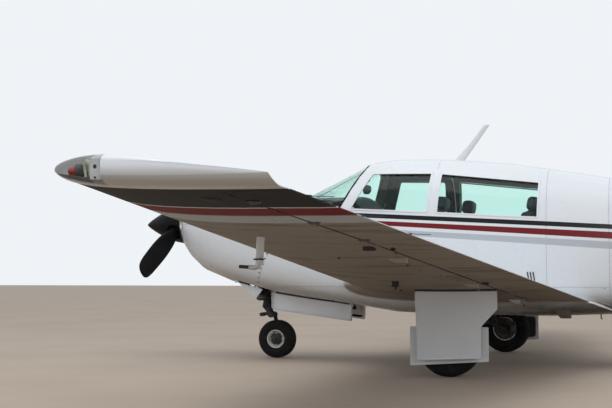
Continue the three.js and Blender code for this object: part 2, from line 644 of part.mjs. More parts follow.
// Wing tips: the end section carried out and rounded, with a clear lens at the front corner.
// Each row scales the section along the chord, and above and below its middle.
const LENS_END = -572;
const tipRows = [
  { x: WING_END + SEAT_GAP, chord: 1, upper: 1, lower: 1 },
  { x: 5415, chord: 1, upper: 1.12, lower: 1.02 },
  { x: 5450, chord: 0.99, upper: 1.12, lower: 0.98 },
  { x: 5482, chord: 0.97, upper: 0.9, lower: 0.78 },
  { x: HALF_SPAN, chord: 0.93, upper: 0.55, lower: 0.48 },
];
function tipRing({ x, chord, upper, lower }) {
  const section = between(WING, "s", x);
  const pivot = { y: section.yTrail - 250, z: section.zLead - 6 };
  return panelRing(section, WING_CAMBER).map((p) => new THREE.Vector3(
    x,
    pivot.y + (p.y - pivot.y) * chord,
    pivot.z + (p.z - pivot.z) * (p.z > pivot.z ? upper : lower),
  ));
}
const tipSolid = solid(loft(tipRows.map(tipRing)));
const lensCut = box(WING_END + 40, 5600, -1000, LENS_END, 900, 1400);
addPair("wing_tip", tipSolid.subtract(lensCut), paint);
const lensBlock = box(WING_END + 40 + SEAT_GAP, 5600, -1000, LENS_END - SEAT_GAP, 900, 1400);
addPair("tip_lens", tipSolid.intersect(lensBlock), clearLens);

// Tail: a hollow cone, the stabilizer with its elevators, the fin with its rudder
const tailShell = bodyLoft(CABIN_END + SEAT_GAP, TAILCONE_END, 0)
  .subtract(bodyLoft(CABIN_END, 3700, TAIL_SKIN));
const elevator = controlSurface(STABILIZER, 0, [215, 1735], [400, 262]);
const rudderBlank = controlSurface(FIN, 0, [1010, 2488], [462, 330]);
const stabilizerPanel = panelLoft(STABILIZER, 0).subtract(bodyClearance).subtract(elevator.cove);
const rudderSweep = box(-1, 205, 3940, 4600, 900, 1300).add(box(-1, 400, 4010, 4600, 900, 1300));
const stabilizer = stabilizerPanel.subtract(rudderSweep);
const upright = (shape) => shape.rotate([0, -90, 0]);
const finPanel = upright(panelLoft(FIN, 0).subtract(rudderBlank.cove));
const fin = finPanel.subtract(bodyClearance).subtract(box(-400, 400, 3000, 4600, 0, 1150));
const rudder = upright(rudderBlank.surface);
const rudderCove = upright(rudderBlank.cove);
const tailLug = box(-14, 14, 3560, 3620, 850, 890);
const rudderSlot = box(-200, 200, 3938, 4100, 1005, 1300);
addPart("tailcone", tailShell.subtract(rudderCove).subtract(rudderSlot).add(tailLug), paint);
addPair("stabilizer", stabilizer, paint);
addPair("elevator", elevator.surface, paint);
addPart("fin", fin, paint);
addPart("rudder", rudder, paint);

// Main wheels: a rim turned on its axle inside its tyre
const TYRE_WIDTH = 160;
const WHEEL_SIDES = 30;
const RIM_RADIUS = 108;
const AXLE_RADIUS = 19;
function tyreProfile(outer, inner, width) {
  const half = width / 2;
  return [
    [inner, -half * 0.72], [(outer + inner) / 2, -half], [outer - 18, -half * 0.84], [outer, -half * 0.4],
    [outer, half * 0.4], [outer - 18, half * 0.84], [(outer + inner) / 2, half], [inner, half * 0.72],
  ];
}
function rimProfile(outer, bore, width) {
  const half = width / 2;
  return [
    [bore, -half * 0.62], [44, -half * 0.62], [outer - 14, -half * 0.34], [outer, -half * 0.74],
    [outer, half * 0.74], [outer - 14, half * 0.34], [44, half * 0.62], [bore, half * 0.62],
  ];
}
const mainHub = [MAIN_TRACK / 2, 0, MAIN_TYRE_RADIUS];
addPair("tyre_main", wheelShape(tyreProfile(MAIN_TYRE_RADIUS, RIM_RADIUS, TYRE_WIDTH), mainHub, WHEEL_SIDES), tyreRubber);
addPair(
  "rim_main",
  wheelShape(rimProfile(RIM_RADIUS - SEAT_GAP, AXLE_RADIUS + SEAT_GAP, TYRE_WIDTH), mainHub, WHEEL_SIDES),
  rimMetal,
);

// Main legs: a post under the wing, a trailing arm and the axle, which carries the lower door
const LOWER_DOOR_X = 1500;
const LEG_X = 1266;
const LEG_Y = -150;
const mainLeg = union([
  rod([LEG_X, LEG_Y, 300], [LEG_X, LEG_Y, 800], 29, 16),
  rod([LEG_X, LEG_Y - 30, 318], [LEG_X, 0, MAIN_TYRE_RADIUS], 26, 14, 24),
  rod([LEG_X, LEG_Y, 318], [LEG_X, LEG_Y, 270], 34, 14),
  rod([LEG_X, LEG_Y + 70, 300], [LEG_X, LEG_Y + 20, 460], 32, 16),
  rod([LEG_X - 26, 0, MAIN_TYRE_RADIUS], [LOWER_DOOR_X - SEAT_GAP, 0, MAIN_TYRE_RADIUS], AXLE_RADIUS, 16),
  rod([LEG_X, LEG_Y - 70, 520], [LEG_X, LEG_Y + 70, 520], 24, 12),
]);
const wingBelow = wingPanel.translate([0, 0, -SEAT_GAP]);
addPair("leg_main", mainLeg.subtract(wingBelow), steel);

// Gear doors outboard of each main wheel: an upper plate on the wing, a lower one on the axle
const UPPER_DOOR_X = 1556;
const upperDoorOutline = [[-212, 640], [366, 640], [366, 488], [252, 367], [250, 147], [-196, 126]];
const lowerDoorOutline = [[-262, 356], [294, 356], [294, 122], [-262, 84]];
const upperDoor = sideShape(upperDoorOutline, UPPER_DOOR_X, UPPER_DOOR_X + 10);
addPair("gear_door_upper", upperDoor.subtract(wingBelow), paint);
addPair("gear_door_lower", sideShape(lowerDoorOutline, LOWER_DOOR_X, LOWER_DOOR_X + 8), paint);

// Nose gear: a leaning leg on the firewall, and the one-armed fork and wheel that steer about it
const NOSE_RAKE = 0.2716;
const legPoint = (z, x = 0) => [x, NOSE_AXLE_STATION - (z - NOSE_TYRE_RADIUS) * NOSE_RAKE, z];
const LEG_JOINT_Z = 450;
const legAxis = new THREE.Vector3(0, -NOSE_RAKE, 1).normalize();
const forkTop = new THREE.Vector3(...legPoint(LEG_JOINT_Z)).addScaledVector(legAxis, -SEAT_GAP).toArray();
const trunnion = legPoint(700);
const noseLeg = union([
  rod(legPoint(LEG_JOINT_Z), legPoint(760), 34, 16),
  rod([-150, trunnion[1], trunnion[2]], [150, trunnion[1], trunnion[2]], 22, 14),
  ...[-1, 1].map((side) => rod(
    [side * 130, trunnion[1], trunnion[2]],
    [side * 130, FIREWALL - SEAT_GAP - 0.1, trunnion[2]],
    20,
    12,
  )),
]);
addPart("nose_leg", noseLeg, steel);

const NOSE_TYRE_WIDTH = 122;
const NOSE_RIM_RADIUS = 77;
const NOSE_AXLE_RADIUS = 14;
const noseHub = [0, NOSE_AXLE_STATION, NOSE_TYRE_RADIUS];
const noseTyreProfile = tyreProfile(NOSE_TYRE_RADIUS, NOSE_RIM_RADIUS, NOSE_TYRE_WIDTH);
const ARM_X = 85;
const NOSE_AXLE_END = 52;
const CROWN_Z = 378;
const noseFork = union([
  rod(forkTop, legPoint(CROWN_Z), 25, 16),
  rod(legPoint(CROWN_Z, -ARM_X - 12), legPoint(CROWN_Z, 24), 21, 14),
  rod(legPoint(CROWN_Z, -ARM_X), legPoint(NOSE_TYRE_RADIUS, -ARM_X), 18, 14),
  rod(legPoint(NOSE_TYRE_RADIUS, -ARM_X - 14), legPoint(NOSE_TYRE_RADIUS, NOSE_AXLE_END), NOSE_AXLE_RADIUS, 14),
]);
addPart("nose_fork", noseFork, steel);
addPart("tyre_nose", wheelShape(noseTyreProfile, noseHub, WHEEL_SIDES), tyreRubber);
addPart(
  "rim_nose",
  wheelShape(rimProfile(NOSE_RIM_RADIUS - SEAT_GAP, NOSE_AXLE_RADIUS + SEAT_GAP, NOSE_TYRE_WIDTH), noseHub, WHEEL_SIDES),
  rimMetal,
);

// Nose gear doors, hanging open beside the well
const NOSE_DOOR_X = 200;
const noseDoorOutline = [[-1790, 700], [-1067, 600], [-1072, 338], [-1790, 433]];
const bodyBelow = outerBody.translate([0, 0, -SEAT_GAP]);
const noseDoor = sideShape(noseDoorOutline, NOSE_DOOR_X, NOSE_DOOR_X + 8);
addPair("nose_gear_door", noseDoor.subtract(bodyBelow), paint);

// Seats: two in front, a bench behind, each one padded body standing on the floor
const SEAT_PROFILE = [
  [-250, 0], [210, 0], [230, 120], [360, 610], [300, 650], [225, 600], [120, 240], [-250, 215],
];
function seatShape(x0, x1, station, height) {
  const floor = CABIN_FLOOR + SEAT_GAP;
  const corners = SEAT_PROFILE.map(([y, z]) => [station + y, floor + z * height]);
  return sideShape(corners, x0, x1, 30);
}
addPart("seat_front_left", seatShape(50, 470, -560, 1.165), upholstery);
addPart("seat_front_right", seatShape(-470, -50, -430, 1.165), upholstery);
addPart("seat_rear", seatShape(-470, 470, 180, 1.12), upholstery);

// Instrument panel across the cabin under its glareshield, with the two control wheels
const panelRoom = bodyLoft(FIREWALL + 12, -860, SKIN + SEAT_GAP);
const panelOutline = [
  [-1400, 1402], [-1010, 1402], [-930, 1372], [-888, 1306], [-905, 1300], [-945, 1345], [-965, 1352],
  [-965, 985], [-990, 985], [-990, 1380], [-1400, 1380],
];
const panelBoard = sideShape(panelOutline, -600, 600, 4).intersect(panelRoom);
function controlWheel(x) {
  const height = 1110;
  return union([
    rod([x, -980, height], [x, -790, height], 12, 10),
    box(x - 120, x + 120, -790, -766, height - 15, height + 15),
    box(x - 120, x - 92, -790, -766, height - 14, height + 80),
    box(x + 92, x + 120, -790, -766, height - 14, height + 80),
  ]);
}
addPart("instrument_panel", union([panelBoard, controlWheel(-260), controlWheel(260)]), panelPlastic);

// Roof antenna, swept back
const antennaRows = [
  { s: 1690, yLead: -217, zLead: 0, yTrail: -150, zTrail: 0, ratio: 0.16 },
  { s: 1995, yLead: 44, zLead: 0, yTrail: 82, zTrail: 0, ratio: 0.2 },
];
const antenna = upright(panelLoft(antennaRows, 0)).subtract(outerBody.translate([0, 0, SEAT_GAP]));
addPart("antenna", antenna, paint);

// Pitot mast under the port wing: a streamlined blade with a thin tube that points ahead
const PITOT_X = 4080;
const pitotRows = [
  { s: 768, yLead: -468, zLead: 0, yTrail: -426, zTrail: 0, ratio: 0.44 },
  { s: 990, yLead: -455, zLead: 0, yTrail: -413, zTrail: 0, ratio: 0.44 },
];
const pitot = union([
  upright(panelLoft(pitotRows, 0)).translate([PITOT_X, 0, 0]),
  rod([PITOT_X, -449, 790], [PITOT_X, -449, 752], 8, 12),
  rod([PITOT_X, -441, 757], [PITOT_X, -549, 763], 7, 12),
]);
addPart("pitot_mast", pitot.subtract(wingBelow), paint);

// Boarding step under the starboard side, behind the wing
const stepPlate = union([
  rod([-430, 1000, 560], [-500, 1120, 330], 12, 12),
  box(-580, -460, 1080, 1180, 320, 336),
]);
addPart("boarding_step", stepPlate.subtract(bodyLoft(0, CABIN_END, -SEAT_GAP)), steel);

// Exhaust pipe under the cowling, on the starboard side
const exhaust = union([
  rod([EXHAUST.x, EXHAUST.y, 960 - SEAT_GAP], [EXHAUST.x, EXHAUST.y, 700], EXHAUST.radius, 12),
  rod([EXHAUST.x, EXHAUST.y - 4, 712], [EXHAUST.x, EXHAUST.y + 140, 545], EXHAUST.radius, 12),
]);
addPart("exhaust_pipe", exhaust, steel);

const centre = new THREE.Group();
centre.position.y = -(SPINNER_TIP + RUDDER_END) / 2;
centre.add(aircraft);
const model = new THREE.Group();
model.add(centre);

export default model;
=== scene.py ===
# Looks of the light aircraft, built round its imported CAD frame. Metres, +X port, -Y nose, +Z up.
import json
import math

import bmesh
import bpy
from mathutils import Matrix, Vector

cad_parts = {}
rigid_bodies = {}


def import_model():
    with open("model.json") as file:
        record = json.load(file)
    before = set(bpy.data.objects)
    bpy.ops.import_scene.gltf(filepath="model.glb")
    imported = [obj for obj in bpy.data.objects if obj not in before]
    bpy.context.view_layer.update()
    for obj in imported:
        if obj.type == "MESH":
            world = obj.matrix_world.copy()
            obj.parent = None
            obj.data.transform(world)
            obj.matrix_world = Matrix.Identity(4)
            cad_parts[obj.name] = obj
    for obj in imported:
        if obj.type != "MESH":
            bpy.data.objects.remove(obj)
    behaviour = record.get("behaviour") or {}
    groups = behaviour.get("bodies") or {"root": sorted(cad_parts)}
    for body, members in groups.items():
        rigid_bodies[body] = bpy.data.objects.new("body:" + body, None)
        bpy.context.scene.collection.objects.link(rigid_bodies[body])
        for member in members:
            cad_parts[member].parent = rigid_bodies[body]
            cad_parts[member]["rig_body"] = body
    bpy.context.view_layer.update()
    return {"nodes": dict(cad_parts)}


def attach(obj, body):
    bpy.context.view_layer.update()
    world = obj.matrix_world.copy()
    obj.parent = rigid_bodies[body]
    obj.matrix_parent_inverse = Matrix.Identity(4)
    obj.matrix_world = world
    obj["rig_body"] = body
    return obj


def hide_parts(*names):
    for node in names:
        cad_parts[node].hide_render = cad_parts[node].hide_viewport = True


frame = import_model()
NODES = frame["nodes"]

# Stations in the tables below are millimetres from the main axle line, as in the part's source
AXLE_LINE = -0.657
MM = 0.001

# Body sections: station, lowest, highest, half width, height of the widest line, upper and lower power
BODY = [
    (-2690, 1014, 1388, 182, 1198, 2.0, 2.0),
    (-2655, 954, 1405, 240, 1194, 2.1, 2.1),
    (-2580, 872, 1420, 334, 1178, 2.3, 2.2),
    (-2450, 770, 1430, 416, 1150, 2.4, 2.4),
    (-2190, 674, 1434, 487, 1110, 2.6, 2.8),
    (-1800, 582, 1426, 524, 1060, 2.8, 3.2),
    (-1464, 535, 1413, 540, 1020, 2.9, 3.8),
    (-1236, 508, 1534, 545, 1000, 2.6, 4.2),
    (-976, 470, 1660, 548, 980, 2.6, 4.5),
    (-860, 452, 1699, 550, 974, 2.7, 4.5),
    (-640, 418, 1719, 552, 962, 2.8, 4.5),
    (-316, 406, 1710, 553, 955, 2.8, 4.5),
    (0, 402, 1686, 552, 950, 2.8, 4.5),
    (328, 398, 1649, 548, 948, 2.8, 4.5),
    (620, 397, 1598, 540, 944, 2.8, 4.4),
    (1070, 414, 1519, 505, 936, 2.7, 4.0),
    (2200, 565, 1380, 330, 968, 2.5, 3.0),
    (3300, 832, 1228, 168, 1036, 2.3, 2.4),
    (4010, 950, 1186, 52, 1080, 2.2, 2.2),
]

# Wing, stabilizer and fin sections: span, leading edge y and z, trailing edge y and z, thickness ratio
WING = [
    (380, -1075, 644, 926, 514, 0.132),
    (640, -1028, 663, 886, 541, 0.132),
    (1060, -817, 692, 821, 586, 0.148),
    (5420, -806, 1131, 154, 1050, 0.12),
]
STABILIZER = [(40, 3262, 1085, 4350, 1052, 0.09), (1760, 3292, 1085, 3962, 1060, 0.09)]
FIN = [(1000, 3205, 0, 4438.1, 0, 0.085), (2528, 3310, 0, 4052, 0, 0.08)]
WING_CAMBER = 0.02
SKIN = 36
COWL_SKIN = 10
GLASS_INSET = 6
TAIL_SKIN = 12


def at(x, y, z):
    """Point of the model from millimetres, y as a station from the axle line."""
    return Vector((x * MM, y * MM + AXLE_LINE, z * MM))


def between(rows, value):
    """Row of a table at a value of its first column."""
    i = 0
    while i < len(rows) - 2 and rows[i + 1][0] < value:
        i += 1
    a, b = rows[i], rows[i + 1]
    t = (value - a[0]) / (b[0] - a[0])
    return [p + t * (q - p) for p, q in zip(a, b)]


# Shape of the body and of the flying surfaces as functions of a point in millimetres
def body_size(x, y, z):
    """1 on the body's skin, less inside it."""
    _, low, top, half, wide, upper, lower = between(BODY, y)
    above = z >= wide
    height = top - wide if above else wide - low
    power = upper if above else lower
    return ((abs(x) / half) ** power + (abs(z - wide) / height) ** power) ** (1 / power)


def body_skin(point):
    """Distance from the body's skin, outwards, and the direction in which it faces there."""
    x, y, z = point
    near, along = 0.5, 70
    slope = Vector((
        (body_size(x + near, y, z) - body_size(x - near, y, z)) / (2 * near),
        (body_size(x, y + along, z) - body_size(x, y - along, z)) / (2 * along),
        (body_size(x, y, z + near) - body_size(x, y, z - near)) / (2 * near),
    ))
    steepness = math.hypot(slope.x, slope.z) or 1
    return (body_size(x, y, z) - 1) / steepness, slope.normalized()


def panel_lines(rows, camber, span, y):
    """Height of the middle line of a flying surface and its half thickness."""
    _, y_lead, z_lead, y_trail, z_trail, ratio = between(rows, span)
    chord = y_trail - y_lead
    t = min(max((y - y_lead) / chord, 0), 1)
    if t < 0.4:
        rise = camber / 0.16 * (0.8 * t - t * t)
    else:
        rise = camber / 0.36 * (0.2 + 0.8 * t - t * t)
    half = 5 * ratio * (0.2969 * math.sqrt(t) - 0.126 * t - 0.3516 * t**2 + 0.2843 * t**3 - 0.1015 * t**4)
    half = max(half * chord, 2 if t > 0.5 else 0)
    return z_lead + t * (z_trail - z_lead) + rise * chord, half


def panel_skin(rows, camber, upright=False):
    """Function of a point that gives the distance and facing of a flying surface's skin."""
    def size(span, y, z):
        middle, half = panel_lines(rows, camber, span, y)
        return (z - middle) ** 2 - half**2

    def skin(point):
        x, y, z = point
        span, height = (z, -x) if upright else (abs(x), z)
        along, near = 40, 1.5
        d_span = (size(span + along, y, height) - size(span - along, y, height)) / (2 * along)
        d_y = (size(span, y + near, height) - size(span, y - near, height)) / (2 * near)
        d_height = (size(span, y, height + near) - size(span, y, height - near)) / (2 * near)
        slope = Vector((d_span, d_y, d_height))
        distance = size(span, y, height) / (slope.length or 1)
        if upright:
            facing = Vector((-slope.z, slope.y, slope.x))
        else:
            facing = Vector((math.copysign(slope.x, slope.x * x), slope.y, slope.z))
        return distance, facing.normalized()

    return skin


# Numbers that vary over a surface, written as sums and products of shader nodes
class Field:
    def __init__(self, tree, socket):
        self.tree = tree
        self.socket = socket

    def math(self, operation, *others):
        node = self.tree.nodes.new("ShaderNodeMath")
        node.operation = operation
        for slot, value in zip(node.inputs, (self, *others)):
            if isinstance(value, Field):
                self.tree.links.new(value.socket, slot)
            else:
                slot.default_value = value
        return Field(self.tree, node.outputs[0])

    def __add__(self, other):
        return self.math("ADD", other)

    def __mul__(self, other):
        return self.math("MULTIPLY", other)

    def __abs__(self):
        return self.math("ABSOLUTE")

    def most(self, other):
        return self.math("MAXIMUM", other)

    def hypot(self, other):
        return (self * self + other * other).math("SQRT")

    def repeat(self, pitch):
        return self.math("WRAP", pitch / 2, -pitch / 2)

    def rise(self, low, high):
        """0 below low, 1 above high, smooth between them."""
        node = self.tree.nodes.new("ShaderNodeMapRange")
        node.interpolation_type = "SMOOTHSTEP"
        self.tree.links.new(self.socket, node.inputs["Value"])
        node.inputs["From Min"].default_value = low
        node.inputs["From Max"].default_value = high
        return Field(self.tree, node.outputs[0])

    def fall(self, low, high):
        return self.rise(low, high) * -1 + 1

    def line(self, width):
        """1 where the field is within half a width of zero."""
        return abs(self).fall(width * 0.35, width * 0.65)

    def within(self, low, high, edge=0.0006):
        return self.rise(low - edge, low + edge) * self.fall(high - edge, high + edge)


class Finish:
    """A material whose colour, roughness and relief are laid on in layers."""

    def __init__(self, name, colour, roughness, slot=None, **constants):
        self.material = bpy.data.materials.new(name)
        self.material.use_nodes = True
        self.tree = self.material.node_tree
        self.shader = self.tree.nodes["Principled BSDF"]
        self.slot = slot
        self.colour = (*colour, 1)
        self.roughness = roughness
        self.height = None
        for socket, value in constants.items():
            self.shader.inputs[socket.replace("_", " ")].default_value = value
        coordinates = self.tree.nodes.new("ShaderNodeTexCoord")
        self.place = coordinates.outputs["Object"]
        split = self.tree.nodes.new("ShaderNodeSeparateXYZ")
        self.tree.links.new(self.place, split.inputs[0])
        self.x, self.y, self.z = (Field(self.tree, output) for output in split.outputs)
        self.station = self.y + -AXLE_LINE
        self.side = abs(self.x)

    def noise(self, scale, detail=2, stretch=None):
        node = self.tree.nodes.new("ShaderNodeTexNoise")
        node.inputs["Scale"].default_value = scale
        node.inputs["Detail"].default_value = detail
        place = self.place
        if stretch:
            mapping = self.tree.nodes.new("ShaderNodeMapping")
            mapping.inputs["Scale"].default_value = stretch
            self.tree.links.new(place, mapping.inputs["Vector"])
            place = mapping.outputs[0]
        self.tree.links.new(place, node.inputs["Vector"])
        return Field(self.tree, node.outputs[0])

    def facing(self, axis):
        """How far each face looks along an axis: 1, 0 or -1 and between."""
        node = self.tree.nodes.new("ShaderNodeTexCoord")
        split = self.tree.nodes.new("ShaderNodeSeparateXYZ")
        self.tree.links.new(node.outputs["Normal"], split.inputs[0])
        return Field(self.tree, split.outputs[axis])

    def below(self, full=-0.80, none=0.25):
        """1 on faces that look down."""
        return self.facing(2).fall(full, none)

    def sideways(self):
        """1 on faces that look to either side."""
        return abs(self.facing(0)).rise(0.45, 0.8)

    def cells(self, scale):
        node = self.tree.nodes.new("ShaderNodeTexVoronoi")
        node.inputs["Scale"].default_value = scale
        self.tree.links.new(self.place, node.inputs["Vector"])
        return Field(self.tree, node.outputs["Distance"])

    def paint(self, colour, mask):
        node = self.tree.nodes.new("ShaderNodeMix")
        node.data_type = "RGBA"
        self.tree.links.new(mask.socket, node.inputs["Factor"])
        first, second = [slot for slot in node.inputs if slot.type == "RGBA"]
        if isinstance(self.colour, tuple):
            first.default_value = self.colour
        else:
            self.tree.links.new(self.colour, first)
        second.default_value = (*colour, 1)
        self.colour = [slot for slot in node.outputs if slot.type == "RGBA"][0]

    def dull(self, roughness, mask):
        before = self.roughness
        if isinstance(before, Field):
            self.roughness = before + (before * -1 + roughness) * mask
        else:
            self.roughness = mask * (roughness - before) + before

    def emboss(self, height):
        self.height = height if self.height is None else self.height + height

    def done(self):
        links = self.tree.links
        if isinstance(self.colour, tuple):
            self.shader.inputs["Base Color"].default_value = self.colour
        else:
            links.new(self.colour, self.shader.inputs["Base Color"])
        if isinstance(self.roughness, Field):
            links.new(self.roughness.socket, self.shader.inputs["Roughness"])
        else:
            self.shader.inputs["Roughness"].default_value = self.roughness
        if self.height is not None:
            bump = self.tree.nodes.new("ShaderNodeBump")
            bump.inputs["Strength"].default_value = 1
            bump.inputs["Distance"].default_value = 1
            links.new(self.height.socket, bump.inputs["Height"])
            links.new(bump.outputs[0], self.shader.inputs["Normal"])
        return self


def rivets(across, along, pitch=0.028, radius=0.0028):
    """1 on the heads of a row of flush rivets."""
    return across.hypot(along.repeat(pitch)).fall(radius * 0.6, radius)


# Paint colours
WHITE = (0.68, 0.71, 0.745)
BLACK = (0.003, 0.003, 0.004)
RED = (0.150, 0.003, 0.005)
GREY = (0.43, 0.46, 0.50)
SEAM = (0.30, 0.31, 0.33)
GRIME = (0.36, 0.32, 0.27)
# Brown laid on faces that look down and on fairing sides under the wing: dust, and painted shade beneath the
# aircraft
DUST_AND_SHADE = (0.215, 0.175, 0.128)
# Dark streaks laid on the belly and the wings' undersides: stains, and painted shade beneath the aircraft
STAIN_AND_SHADE = (0.045, 0.034, 0.025)


def weathered(finish, strength=0.10):
    """Slow colour drift, dust and the ripple of thin painted sheet."""
    finish.paint(GRIME, finish.noise(1.7, 4).rise(0.45, 0.9) * strength)
    finish.paint((0.62, 0.63, 0.65), finish.noise(14, 5).rise(0.55, 0.8) * 0.14)
    finish.dull(0.38, finish.noise(6, 3).rise(0.4, 0.8))
    finish.emboss(finish.noise(2.2, 1) * 0.0022)
    finish.emboss(finish.noise(240, 2) * 0.00006)


def seams(finish, rows):
    """Panel joints, each with its rivets: a list of across, along and limits."""
    for across, along, mask in rows:
        line = across.line(0.0034) * mask
        heads = (rivets(across + 0.011, along) + rivets(across + -0.011, along)) * mask
        finish.paint(SEAM, line * 0.75)
        finish.paint(SEAM, heads * 0.35)
        finish.emboss(line * -0.0007)
        finish.emboss(heads * -0.00025)


def body_paint():
    finish = Finish("body_paint", WHITE, 0.26, "white_paint", Coat_Weight=0.08, Coat_Roughness=0.06,
                    Specular_IOR_Level=0.25)
    weathered(finish)
    # Faces that look down are darkened: dust, and painted shade. The belly from the wing aft gets dark
    # streaks: stains, and painted shade.
    finish.paint(DUST_AND_SHADE, finish.below(-0.97, -0.45) * 0.5)
    belly = finish.below(-0.90, -0.10) * finish.station.rise(-0.6, 0.5)
    finish.paint(STAIN_AND_SHADE, belly * finish.noise(3, 6, (3, 0.5, 1)).rise(0.2, 0.6) * 0.85)
    s, z, side = finish.station, finish.z, finish.side
    girth = finish.z + finish.side * 0.6
    whole = s.rise(-2.68, -2.66)
    cabin = s.within(-1.79, 1.07)
    seams(finish, [
        (s + -0.600, girth, z.rise(0.40, 0.42)),
        (s + -1.072, girth, whole),
        (s + -1.72, girth, whole),
        (s + -2.40, girth, whole),
        (s + -3.05, girth, whole),
        (s + 0.283, girth, z.rise(1.58, 1.60)),
        (s + (z + -0.906) * -0.5485 + 1.715, girth, z.fall(0.93, 0.96)),
        (s + 1.803, girth, z.rise(0.93, 0.96)),
        (z + -0.632, s, cabin * side.rise(0.3, 0.32)),
        (z + s * 0.02 + -0.90, s, s.rise(1.08, 1.09)),
        (side + -0.20, s, z.rise(1.3, 1.35) * s.within(-0.9, 3.1)),
    ])
    stripes = [
        (BLACK, z + s * 0.0603 + -1.1826, z + s * 0.0608 + -1.1465),
        (RED, z + s * 0.0609 + -1.1241, z + s * 0.0705 + -1.0816),
        (GREY, z + s * 0.0659 + -1.0551, z + s * 0.0758 + -1.0090),
    ]
    for colour, over, under in stripes:
        mask = over.fall(-0.0008, 0.0008) * under.rise(-0.0008, 0.0008) * s.rise(-2.60, -2.58)
        finish.paint(colour, mask)
    return finish.done()


def wing_paint():
    finish = Finish("wing_paint", WHITE, 0.3, "white_paint", Specular_IOR_Level=0.2)
    weathered(finish, 0.2)
    # The wing's lower faces are darkened brown and streaked: dust and stains, and painted shade under the
    # wing.
    finish.paint(DUST_AND_SHADE, finish.below() * 0.88)
    finish.dull(0.62, finish.below())
    finish.paint(STAIN_AND_SHADE, finish.below() * finish.noise(4, 6, (2.5, 0.5, 1)).rise(0.48, 0.72) * 0.55)
    s, side = finish.station, finish.side
    ribs = side + -0.2
    chordwise = rivets(ribs.repeat(0.42), s, 0.03, 0.0024)
    spar = rivets((s + side * 0.045 + 0.33), side, 0.03, 0.0024)
    rear = rivets((s + side * 0.118 + -0.46), side, 0.03, 0.0024)
    heads = (chordwise + spar + rear) * side.rise(0.62, 0.64)
    finish.paint(SEAM, heads * 0.3)
    finish.emboss(heads * -0.0002)
    seams(finish, [
        (side + -1.22, s, s.rise(-9, -8)),
        (side + -2.96, s, s.rise(-9, -8)),
        (side + -4.52, s, s.rise(-9, -8)),
    ])
    finish.paint(BLACK, side.within(4.95, 5.372))
    finish.paint(WHITE, side.within(4.935, 4.955))
    finish.paint(RED, side.within(4.75, 4.937))
    finish.paint(GREY, side.within(4.54, 4.73))
    return finish.done()


def tail_paint():
    finish = Finish("tail_paint", WHITE, 0.22, "tail_paint", Coat_Weight=0.6, Coat_Roughness=0.06)
    weathered(finish)
    s, z, side = finish.station, finish.z, finish.side
    heads = rivets((side + -0.1).repeat(0.2), s, 0.03, 0.0022) * side.rise(0.12, 0.14)
    heads = heads + rivets((z + -1.2).repeat(0.22), s, 0.03, 0.0022) * side.fall(0.12, 0.14)
    finish.paint(SEAM, heads * 0.3)
    finish.emboss(heads * -0.0002)
    return finish.done()


def plain_paint():
    finish = Finish("plain_paint", WHITE, 0.28, "white_paint", Coat_Weight=0.2, Coat_Roughness=0.08)
    weathered(finish, 0.3)
    # Faces that look down are darkened: dust, and painted shade.
    finish.paint(DUST_AND_SHADE, finish.below() * 0.6)
    s, side = finish.station, finish.side
    # Sides of the fairings and brackets under the wings, between stations 0 and 1, are darkened: painted
    # shade with some dust.
    outer = side.rise(1.74, 1.78) * side.fall(5.2, 5.3)
    inner = s.rise(0.41, 0.43) * side.rise(0.62, 0.64) * side.fall(5.2, 5.3)
    finish.paint(DUST_AND_SHADE, finish.sideways() * outer.most(inner) * s.within(0, 1) * 0.8)
    return finish.done()


LAMP = {"Transmission_Weight": 0.35, "Coat_Weight": 1.0}

